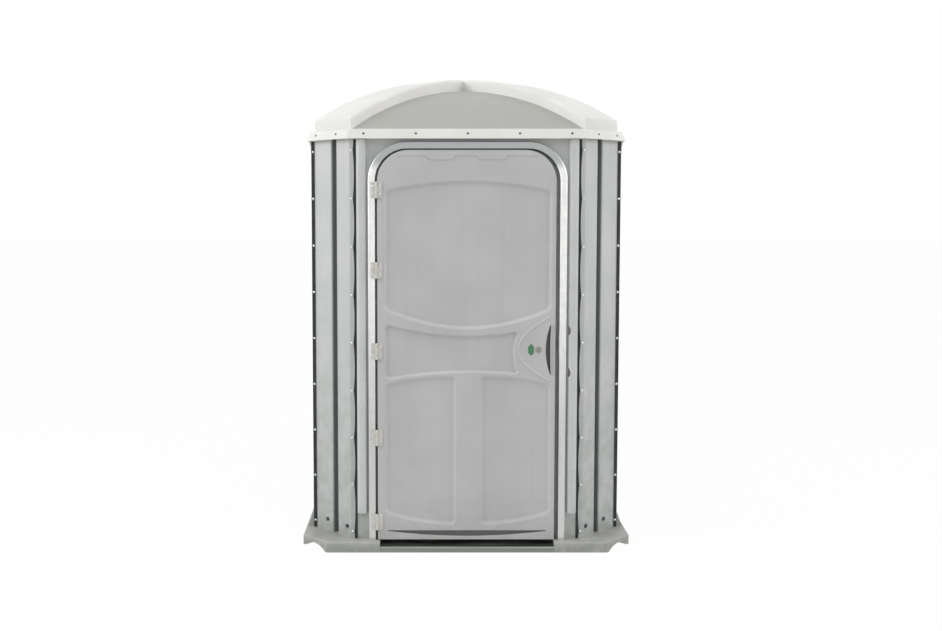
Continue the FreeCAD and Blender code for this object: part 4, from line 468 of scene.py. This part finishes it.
# Weathered zinc on the wall bolts: dark and dull.
DULL_ZINC = Finish("weathered_zinc", ("#5d615f", "#43484a"), (0.4, 0.6), Grain.SPANGLED, 2.0, 0.05, 6.0, 1.0)
# Brushed stainless tube: fine lines round the grip and a soft bright streak.
STAINLESS = Finish("brushed_stainless_steel", ("#d0d2d3", "#bcc0c2"), (0.22, 0.36), Grain.DRAWN, 0.8, 0.02, 30.0, 1.0,
                   stretch=(1.0, 8.0, 1.0))
# Satin zinc casting on the latch: warm grey.
CAST_ZINC = Finish("satin_zinc_casting", ("#a09f9b", "#86857f"), (0.3, 0.45), Grain.SPANGLED, 1.5, 0.03, 8.0, 1.0)
# Black polyethylene tank: coarse moulded grain with grey dust.
TANK_PLASTIC = Finish("black_polyethylene_tank", ("#2c2e30", "#393c3d"), (0.4, 0.58), Grain.PEBBLED, 1.6, 0.15, 60.0)
# Polished black polypropylene seat.
SEAT_PLASTIC = Finish("black_polypropylene_seat", ("#161718", "#202123"), (0.16, 0.26), Grain.SMOOTH, 5.0, 0.02, 70.0,
                      coat=0.3)
# Black PVC vent pipe with a satin extruded skin.
PIPE_PVC = Finish("black_pvc_pipe", ("#242526", "#323435"), (0.3, 0.46), Grain.DRAWN, 1.5, 0.03, 50.0,
                  stretch=(1.0, 1.0, 20.0))
# Dark grey nylon of the latch and the pull.
DARK_NYLON = Finish("dark_grey_nylon", ("#35383a", "#2b2d2f"), (0.32, 0.45), Grain.PEBBLED, 1.0, 0.04, 20.0)
# Black rubber strips along the seams: dull, greyed by dust; beside the flange edges their black is also painted shade
# for the narrow gap there.
DARK_RUBBER = Finish("weathered_rubber", ("#1f2522", "#2e3431"), (0.6, 0.8), Grain.PEBBLED, 1.0, 0.05, 40.0)
# Grey rubber lip that the door shuts on: pale and dull.
SEAL_RUBBER = Finish("grey_seal_rubber", ("#a7a9a7", "#9c9f9d"), (0.55, 0.75), Grain.PEBBLED, 1.0, 0.05, 40.0)
# Smoke-grey polystyrene dispenser with a glossy skin.
SMOKE_PLASTIC = Finish("smoke_polystyrene", ("#45494d", "#3b3f43"), (0.14, 0.26), Grain.SMOOTH, 6.0, 0.02, 60.0,
                       coat=0.4)
# Printed vinyl disc in green and red.
INDICATOR_PRINT = TwoColourDisc("printed_vinyl_disc", ("#02a955", "#019c4b"), (0.35, 0.45), Grain.SMOOTH, 3.0, 0.01,
                                20.0)
# Clear acrylic pane: nearly unseen but for its shine.
CLEAR_ACRYLIC = Finish("clear_acrylic", ("#e8f3ec", "#dcebe2"), (0.05, 0.12), Grain.SMOOTH, 8.0, 0.01, 30.0,
                       ior=1.49, alpha=0.06)
# Wound tissue paper.
TISSUE = WoundPaper("tissue_paper", ("#f0eeea", "#e6e3dd"), (0.8, 0.95), Grain.FIBROUS, 2.0, 0.2, 30.0)


def dress(finish: Finish, *nodes: str) -> None:
    """Gives CAD nodes a finish in place of their plain materials."""
    for name in nodes:
        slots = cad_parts[name].data.materials
        slots.clear()
        slots.append(finish.material())
        log.info("%s wears %s", name, finish.name)


def finished_piece(name: str, bm: bmesh.types.BMesh, finish: Finish, body: str,
                   nodes: tuple[str, ...] = ()) -> bpy.types.Object:
    """Turns a closed bmesh into a smooth-shaded piece that rides on a body.

    Args:
        name: The piece's name.
        bm: Its mesh in metres, freed here.
        finish: What it is made of.
        body: CAD body it moves with.
        nodes: CAD nodes it stands for.

    Returns:
        The new object.
    """
    bmesh.ops.recalc_face_normals(bm, faces=bm.faces)
    for face in bm.faces:
        face.smooth = True
    for edge in bm.edges:
        edge.smooth = not edge.is_manifold or edge.calc_face_angle(0.0) < SHARP_ANGLE
    mesh = bpy.data.meshes.new(name)
    bm.to_mesh(mesh)
    bm.free()
    made = bpy.data.objects.new(name, mesh)
    bpy.context.scene.collection.objects.link(made)
    mesh.materials.append(finish.material())
    weighted = made.modifiers.new("even_shading", "WEIGHTED_NORMAL")
    weighted.keep_sharp = True
    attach(made, body)
    if nodes:
        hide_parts(*nodes)
    log.info("%s made with %d faces on %s", name, len(mesh.polygons), body)
    return made


@dataclass
class PanelOutline:
    """A closed outline in the door's front plane, with rounded corners and bowed sides.

    Attributes:
        corners: Corner places as (x, z) in millimetres, in order.
        bows: For some sides, by number, how far their middle stands off the straight line, as (x, z).
        radius: Corner radius.
        cuts: Points put into each bowed side.
        corner_steps: Parts of each rounded corner.
        slope: Width of the slope between the outline and the panel's floor.
        rise: How far the panel's floor stands out of the door's front, less than zero where it is sunk.
    """

    corners: tuple[Place, ...]
    bows: dict[int, Place] = field(default_factory=dict)
    radius: float = 26.0
    cuts: int = 7
    corner_steps: int = 6
    slope: float = 20.0
    rise: float = -11.0

    def face(self, bm: bmesh.types.BMesh, depth: float) -> bmesh.types.BMFace:
        """Makes the outline as one face that looks towards -Y at a depth in millimetres."""
        known = set(bm.faces)
        verts = [bm.verts.new((x * MM, depth * MM, z * MM)) for x, z in self.corners]
        bm.faces.new(verts)
        for side, rise in self.bows.items():
            self.bow(verts[side], verts[(side + 1) % len(verts)], rise)
        if self.radius:
            bmesh.ops.bevel(bm, geom=verts, offset=self.radius * MM, offset_type="OFFSET", affect="VERTICES",
                            segments=self.corner_steps, profile=0.5, material=-1, clamp_overlap=True)
        made = next(face for face in bm.faces if face not in known)
        made.normal_update()
        if made.normal.y > 0:
            made.normal_flip()
        return made

    def bow(self, first: bmesh.types.BMVert, last: bmesh.types.BMVert, rise: Place) -> None:
        """Cuts a side into equal parts and lifts its middle off the straight line."""
        start, run, lift = first.co.copy(), last.co - first.co, Vector((rise[0], 0.0, rise[1])) * MM
        for index in range(self.cuts):
            edge = next(edge for edge in first.link_edges if edge.other_vert(first) is last)
            _, first = bmesh.utils.edge_split(edge, first, 1.0 / (self.cuts + 1 - index))
            share = (index + 1.0) / (self.cuts + 1.0)
            first.co = start + run * share + lift * (4.0 * share * (1.0 - share))


def soft_step(bm: bmesh.types.BMesh, face: bmesh.types.BMFace, width: float, rise: float, steps: int = 8) -> None:
    """Carries a face in or out of its plane over an S-shaped slope, in millimetres."""
    for index in range(steps):
        before, after = [(1.0 - math.cos(math.pi * step / steps)) / 2.0 for step in (index, index + 1)]
        bmesh.ops.inset_region(bm, faces=[face], thickness=width / steps * MM, depth=rise * (after - before) * MM,
                               use_even_offset=True)


@dataclass
class DoorSkin:
    """The door's outer moulding: soft recesses, a ledge near its top and a bead round the latch."""

    front: float = -755.0
    back: float = -741.0
    left: float = -421.0
    right: float = 413.0
    bottom: float = 52.0
    top: float = 1892.0
    top_corner: float = 146.0
    edge_round: float = 2.5
    latch_x: float = 334.0
    latch_z: float = 959.0
    hole_radius: float = 14.3
    hole_sides: int = 32
    window_shift: float = 35.0
    window_half_width: float = 14.0
    window_half_height: float = 28.5
    grip_right: float = 409.0
    grip_shoulder: float = 389.0
    grip_left: float = 366.0
    grip_half_height: float = 121.0
    grip_steps: int = 24
    rim_steps: int = 4
    corner_parts: int = 18

    def recesses(self) -> list[PanelOutline]:
        """Upper, middle and two lower panels."""
        upper = PanelOutline(((-394.0, 1145.0), (399.0, 1145.0), (399.0, 1706.0), (-394.0, 1706.0)),
                             {0: (0.0, -92.0), 2: (0.0, 47.0)}, cuts=19)
        middle = PanelOutline(((-391.0, 813.0), (251.0, 838.0), (251.0, 1051.0), (-391.0, 1086.0)),
                              {0: (0.0, 22.5), 1: (-26.0, 0.0), 2: (0.0, -40.0)}, radius=32.0, cuts=5, slope=13.0)
        lower = [PanelOutline(((inner, 120.0), (outer, 176.0), (outer, 798.0), (inner, 836.0)),
                              {0: (0.0, -15.0), 2: (0.0, 13.0)}) for inner, outer in ((-48.0, -394.0), (57.0, 399.0))]
        return [upper, middle] + lower

    def kick_groove(self) -> PanelOutline:
        """Groove above the door's foot: level above, bowed below."""
        return PanelOutline(((-375.0, 93.0), (375.0, 93.0), (375.0, 97.0), (-375.0, 97.0)),
                            {0: (0.0, -24.0)}, radius=0.0, cuts=19, slope=1.5, rise=-7.0)

    def ledge(self) -> PanelOutline:
        """Raised ledge with two lobes under the door's top edge."""
        return PanelOutline(((-328.0, 1862.0), (-196.0, 1864.0), (-176.0, 1844.0), (-74.0, 1844.0), (-54.0, 1864.0),
                             (40.0, 1864.0), (60.0, 1845.0), (170.0, 1845.0), (190.0, 1864.0), (326.0, 1862.0),
                             (326.0, 1872.0), (298.0, 1880.0), (-300.0, 1880.0), (-328.0, 1872.0)),
                            radius=0.0, slope=3.5, rise=3.0)

    def latch_bead(self) -> PanelOutline:
        """Bowed bead round the latch, open towards the door's edge."""
        deepest, reach, middle, half_height, half_width, steps = 240.6, 148.0, 961.0, 152.0, 7.0, 40
        inner, outer = [], []
        for index in range(steps + 1):
            share = 2.0 * index / steps - 1.0
            place = Vector((deepest + reach * share * share, middle + half_height * share))
            across = Vector((half_height, -2.0 * reach * share)).normalized() * half_width
            inner.append(tuple(place + across))
            outer.append(tuple(place - across))
        return PanelOutline(tuple(outer + inner[::-1]), radius=0.0, slope=5.5, rise=3.0)

    def holes(self) -> list[PanelOutline]:
        """Window, spindle and finger grip."""
        x, z = self.latch_x - self.window_shift, self.latch_z
        wide, high = self.window_half_width, self.window_half_height
        window = PanelOutline(((x, z + high), (x - wide, z + high / 2.0), (x - wide, z - high / 2.0), (x, z - high),
                               (x + wide, z - high / 2.0), (x + wide, z + high / 2.0)), radius=1.5, corner_steps=2)
        angles = [math.tau * index / self.hole_sides for index in range(self.hole_sides)]
        spindle = PanelOutline(tuple((self.latch_x + self.hole_radius * math.cos(angle),
                                      z + self.hole_radius * math.sin(angle)) for angle in angles), radius=0.0)
        return [window, spindle, self.grip_hole()]

    def grip_hole(self) -> PanelOutline:
        """Opening of the finger grip: straight beside the door's edge and bowed towards the hinges."""
        half, sag = self.grip_half_height, self.grip_shoulder - self.grip_left
        radius = (half * half + sag * sag) / (2.0 * sag)
        swing = math.asin(half / radius)
        arc = [(self.grip_left + radius - radius * math.cos(swing * share),
                self.latch_z + radius * math.sin(swing * share))
               for share in [2.0 * index / self.grip_steps - 1.0 for index in range(self.grip_steps + 1)]]
        corners = [(self.grip_right, self.latch_z + half), (self.grip_right, self.latch_z - half)]
        return PanelOutline(tuple(arc + corners), radius=0.0)

    def outer_rim(self, bm: bmesh.types.BMesh) -> tuple[list[bmesh.types.BMEdge], list[bmesh.types.BMEdge]]:
        """Rounded edge of the slab.

        Returns:
            The rim's outermost edges and the edges of its flat front.
        """
        outline = PanelOutline(((self.left, self.bottom), (self.right, self.bottom), (self.right, self.top),
                                (self.left, self.top)), radius=0.0)
        face = outline.face(bm, self.front + self.edge_round)
        tops = [vert for vert in face.verts if vert.co.z > (self.top - 1.0) * MM]
        bmesh.ops.bevel(bm, geom=tops, offset=self.top_corner * MM, offset_type="OFFSET", affect="VERTICES",
                        segments=self.corner_parts, profile=0.5, material=-1)
        face = bm.faces[:][0]
        for index in range(self.rim_steps):
            start, end = [math.pi / 2.0 * step / self.rim_steps for step in (index, index + 1)]
            bmesh.ops.inset_region(bm, faces=[face], use_even_offset=True, use_boundary=True,
                                   thickness=self.edge_round * MM * (math.cos(start) - math.cos(end)),
                                   depth=self.edge_round * MM * (math.sin(end) - math.sin(start)))
        outermost = [edge for edge in bm.edges if edge.is_boundary]
        inner = list(face.edges)
        bmesh.ops.delete(bm, geom=[face], context="FACES_ONLY")
        return outermost, inner

    def build(self) -> bpy.types.Object:
        """Builds the skin as one closed moulding and puts it in the CAD skin's place."""
        bm = bmesh.new()
        outermost, front_edges = self.outer_rim(bm)
        outlines = self.recesses() + [self.kick_groove(), self.ledge(), self.latch_bead()]
        carried = [(outline.face(bm, self.front), outline) for outline in outlines]
        for face, _ in carried:
            front_edges += list(face.edges)
        hole_edges = []
        for hole in [outline.face(bm, self.front) for outline in self.holes()]:
            hole_edges += list(hole.edges)
            bmesh.ops.delete(bm, geom=[hole], context="FACES_ONLY")
        bmesh.ops.triangle_fill(bm, edges=front_edges + hole_edges, use_beauty=True, use_dissolve=False)
        for face, outline in carried:
            soft_step(bm, face, outline.slope, outline.rise)
        walls = bmesh.ops.extrude_edge_only(bm, edges=outermost + hole_edges)["geom"]
        for vert in [item for item in walls if isinstance(item, bmesh.types.BMVert)]:
            vert.co.y = self.back * MM
        rear = [item for item in walls if isinstance(item, bmesh.types.BMEdge)
                and all(abs(vert.co.y - self.back * MM) < 1e-6 for vert in item.verts)]
        bmesh.ops.triangle_fill(bm, edges=rear, use_beauty=True, use_dissolve=False)
        return finished_piece("door_face", bm, DOOR_FACE, "door", ("door_outer_skin",))


@dataclass
class Shell:
    """Base, walls, their fasteners and vents."""

    walls: tuple[str, ...] = ("corner_panel_front_left", "corner_panel_front_right", "corner_panel_rear_left",
                              "corner_panel_rear_right", "front_panel", "side_wall_left", "side_wall_right",
                              "rear_wall", "wall_vents")

    def build(self) -> None:
        """Dresses the shell's nodes."""
        dress(WALL_SHEET, *self.walls)
        dress(BASE_PLASTIC, "base_pan")
        dress(ZINC_STEEL, "seam_rivets", "threshold_screws")
        dress(DARK_RUBBER, "seam_strips")
        dress(DULL_ZINC, "base_bolts")


@dataclass
class Roof:
    """Vaulted roof, its screws and the vent pipe that passes through it."""

    def build(self) -> None:
        """Dresses the roof's nodes."""
        dress(ROOF_SHEET, "roof", "vent_collar")
        dress(DULL_ZINC, "roof_screws")
        dress(PIPE_PVC, "vent_pipe", "vent_cap")


@dataclass
class Doorway:
    """Door frame, its two posts, strike plate and sill."""

    def build(self) -> None:
        """Dresses the doorway's nodes."""
        dress(MILL_ALUMINIUM, "door_frame")
        dress(POST_SHEET, "front_post_left", "front_post_right")
        dress(SILL_ALUMINIUM, "threshold_plate")
        dress(STAINLESS, "strike_plate")
        dress(ZINC_STEEL, "frame_screws")
        dress(SEAL_RUBBER, "door_seal")


@dataclass
class Door:
    """The door with its hinges, window, grip and inside pull."""

    skin: DoorSkin = field(default_factory=DoorSkin)

    def build(self) -> None:
        """Makes the outer skin and dresses what is fixed to the door."""
        self.skin.build()
        dress(DOOR_SHEET, "door_inner_skin")
        dress(GRIP_SHEET, "grip_insert")
        dress(IVORY_NYLON, "hinge_frame_leaves", "hinge_door_leaves")
        dress(ZINC_STEEL, "door_screws", "hinge_pins")
        dress(CLEAR_ACRYLIC, "indicator_window")
        dress(DARK_NYLON, "inner_pull")


@dataclass
class Latch:
    """Spindle, lever, pinion, bolt and the two-colour disc."""

    def build(self) -> None:
        """Dresses the latch's nodes."""
        dress(CAST_ZINC, "latch_spindle", "latch_lever")
        dress(DARK_NYLON, "latch_case", "latch_pinion", "latch_bolt")
        dress(INDICATOR_PRINT, "indicator_disc")


@dataclass
class Seating:
    """Waste tank, seat and lid with their hinge."""

    def build(self) -> None:
        """Dresses the tank and the seat."""
        dress(TANK_PLASTIC, "waste_tank")
        dress(SEAT_PLASTIC, "seat_ring", "seat_lid", "seat_bracket")
        dress(ZINC_STEEL, "tank_screws", "seat_bracket_screws", "seat_pin")


@dataclass
class Fittings:
    """Grab bars, paper dispenser with its rolls, and coat hook."""

    core_radius: float = 20.1
    edge_round: float = 3.0
    edge_bend: float = 0.3
    dish: float = 1.0
    dish_place: float = 0.7
    turns: int = 72

    def roll(self, node: str, body: str) -> None:
        """Spins one paper roll in its CAD solid's place, with softened edges and dished ends."""
        low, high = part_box(node)
        axis = (low + high) / 2.0
        radius = (high.x - low.x) / 2.0
        core, round_off, dish = self.core_radius * MM, self.edge_round * MM, self.dish * MM
        bend, dished = round_off * self.edge_bend, radius * self.dish_place
        profile = [(core, low.y), (dished, low.y + dish), (radius - round_off, low.y),
                   (radius - bend, low.y + bend), (radius, low.y + round_off),
                   (radius, high.y - round_off), (radius - bend, high.y - bend),
                   (radius - round_off, high.y), (dished, high.y - dish), (core, high.y)]
        bm = bmesh.new()
        verts = [bm.verts.new((axis.x + away, y, axis.z)) for away, y in profile]
        edges = [bm.edges.new((verts[index], verts[(index + 1) % len(verts)])) for index in range(len(verts))]
        bmesh.ops.spin(bm, geom=verts + edges, cent=(axis.x, 0.0, axis.z), axis=(0.0, 1.0, 0.0), angle=2.0 * math.pi,
                       steps=self.turns, use_merge=True, use_duplicate=False)
        bmesh.ops.remove_doubles(bm, verts=bm.verts, dist=1e-6)
        finished_piece(node + "_tissue", bm, TISSUE, body, (node,))

    def build(self) -> None:
        """Makes the rolls and dresses the fittings."""
        self.roll("paper_roll_front", "roll_front")
        self.roll("paper_roll_rear", "roll_rear")
        dress(STAINLESS, "grab_bar_side", "grab_bar_rear", "grab_bar_flanges", "coat_hook")
        dress(ZINC_STEEL, "grab_bar_screws", "dispenser_screws", "dispenser_pin")
        dress(SMOKE_PLASTIC, "dispenser_body", "dispenser_cover", "roll_rod")


@dataclass
class Studio:
    """Plain pale floor, soft light from both sides and the photograph's camera."""

    camera_place: tuple[float, float, float] = (-0.188, -5.456, 1.644)
    camera_pitch: float = 3.82
    focal_pixels: float = 1010.0
    lens_axis: Place = (427.2, 271.0)
    side_lamp: tuple[float, float, float] = (5.0, -2.1, 3.7)
    side_lamp_size: float = 2.4
    side_energy: float = 131.0
    right_share: float = 0.72
    top_lamp: tuple[float, float, float] = (0.0, -1.5, 5.2)
    top_lamp_size: float = 3.0
    top_share: float = 0.3
    aim: tuple[float, float, float] = (0.0, 0.0, 1.1)
    fill_strength: float = 0.53
    floor_white: float = 0.97
    floor_reach: float = 40.0

    def build(self) -> None:
        """Makes the camera, the world, the lamps and the floor."""
        self.camera()
        self.world()
        x, y, z = self.side_lamp
        self.lamp("left", (-x, y, z), self.side_lamp_size, self.side_energy)
        self.lamp("right", (x, y, z), self.side_lamp_size, self.side_energy * self.right_share)
        self.lamp("top", self.top_lamp, self.top_lamp_size, self.side_energy * self.top_share)
        self.floor()

    def camera(self) -> None:
        """Sets the camera as the photograph was taken: the picture is a part cut from a wider one."""
        lens = bpy.data.cameras.new("camera")
        lens.sensor_fit = "HORIZONTAL"
        lens.sensor_width = SENSOR_WIDTH
        lens.lens = self.focal_pixels / PHOTO_WIDTH * SENSOR_WIDTH
        lens.shift_x = (PHOTO_WIDTH / 2.0 - self.lens_axis[0]) / PHOTO_WIDTH
        lens.shift_y = (self.lens_axis[1] - PHOTO_HEIGHT / 2.0) / PHOTO_WIDTH
        made = bpy.data.objects.new("camera", lens)
        made.location = self.camera_place
        made.rotation_euler = (math.radians(90.0 - self.camera_pitch), 0.0, 0.0)
        bpy.context.scene.collection.objects.link(made)
        bpy.context.scene.camera = made

    def seen_directly(self, tree: bpy.types.NodeTree) -> bpy.types.NodeSocket:
        """One for rays that show the background itself: from the camera, a mirror or glass."""
        path = add_node(tree, "ShaderNodeLightPath").outputs
        first = add_node(tree, "ShaderNodeMath", {0: path["Is Camera Ray"], 1: path["Is Glossy Ray"]},
                         operation="MAXIMUM").outputs[0]
        return add_node(tree, "ShaderNodeMath", {0: first, 1: path["Is Transmission Ray"]},
                        operation="MAXIMUM").outputs[0]

    def world(self) -> None:
        """White where it is seen, softer where it lights the object."""
        made = bpy.data.worlds.new("studio")
        made.use_nodes = True
        tree = made.node_tree
        tree.nodes.clear()
        fill = add_node(tree, "ShaderNodeBackground", {"Color": linear("#f8f9fa"), "Strength": self.fill_strength})
        white = add_node(tree, "ShaderNodeBackground", {"Color": linear("#ffffff"), "Strength": 1.0})
        mixed = add_node(tree, "ShaderNodeMixShader", {0: self.seen_directly(tree), 1: fill.outputs[0],
                                                       2: white.outputs[0]})
        add_node(tree, "ShaderNodeOutputWorld", {"Surface": mixed.outputs[0]})
        bpy.context.scene.world = made

    def lamp(self, name: str, place: tuple[float, float, float], size: float, energy: float) -> None:
        """Hangs a square soft lamp that points at the cabin's middle."""
        light = bpy.data.lights.new(name, "AREA")
        light.size = size
        light.energy = energy
        made = bpy.data.objects.new(name, light)
        made.location = place
        ahead = Vector(self.aim) - Vector(place)
        made.rotation_euler = ahead.to_track_quat("-Z", "Y").to_euler()
        bpy.context.scene.collection.objects.link(made)

    def floor(self) -> None:
        """Pale floor that keeps a faint shadow of the cabin."""
        bm = bmesh.new()
        bmesh.ops.create_grid(bm, x_segments=1, y_segments=1, size=self.floor_reach)
        mesh = bpy.data.meshes.new("floor")
        bm.to_mesh(mesh)
        bm.free()
        made = bpy.data.objects.new("floor", mesh)
        bpy.context.scene.collection.objects.link(made)
        material = bpy.data.materials.new("studio_floor")
        material.use_nodes = True
        tree = material.node_tree
        tree.nodes.clear()
        paper = add_node(tree, "ShaderNodeBsdfDiffuse", {"Color": linear("#f2f2f1")}).outputs[0]
        white = add_node(tree, "ShaderNodeEmission", {"Color": linear("#ffffff"), "Strength": 1.0}).outputs[0]
        share = add_node(tree, "ShaderNodeMath", {0: self.seen_directly(tree), 1: self.floor_white},
                         operation="MULTIPLY").outputs[0]
        mixed = add_node(tree, "ShaderNodeMixShader", {0: share, 1: paper, 2: white}).outputs[0]
        add_node(tree, "ShaderNodeOutputMaterial", {"Surface": mixed})
        mesh.materials.append(material)


def main() -> None:
    """Builds the studio and every sub-assembly in order."""
    logging.basicConfig(level=logging.INFO, format="%(name)s: %(message)s")
    bpy.context.scene.view_settings.view_transform = "Standard"
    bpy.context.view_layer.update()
    for part in (Studio(), Shell(), Roof(), Doorway(), Door(), Latch(), Seating(), Fittings()):
        log.info("building %s", type(part).__name__)
        part.build()


if __name__ == "__main__":
    main()
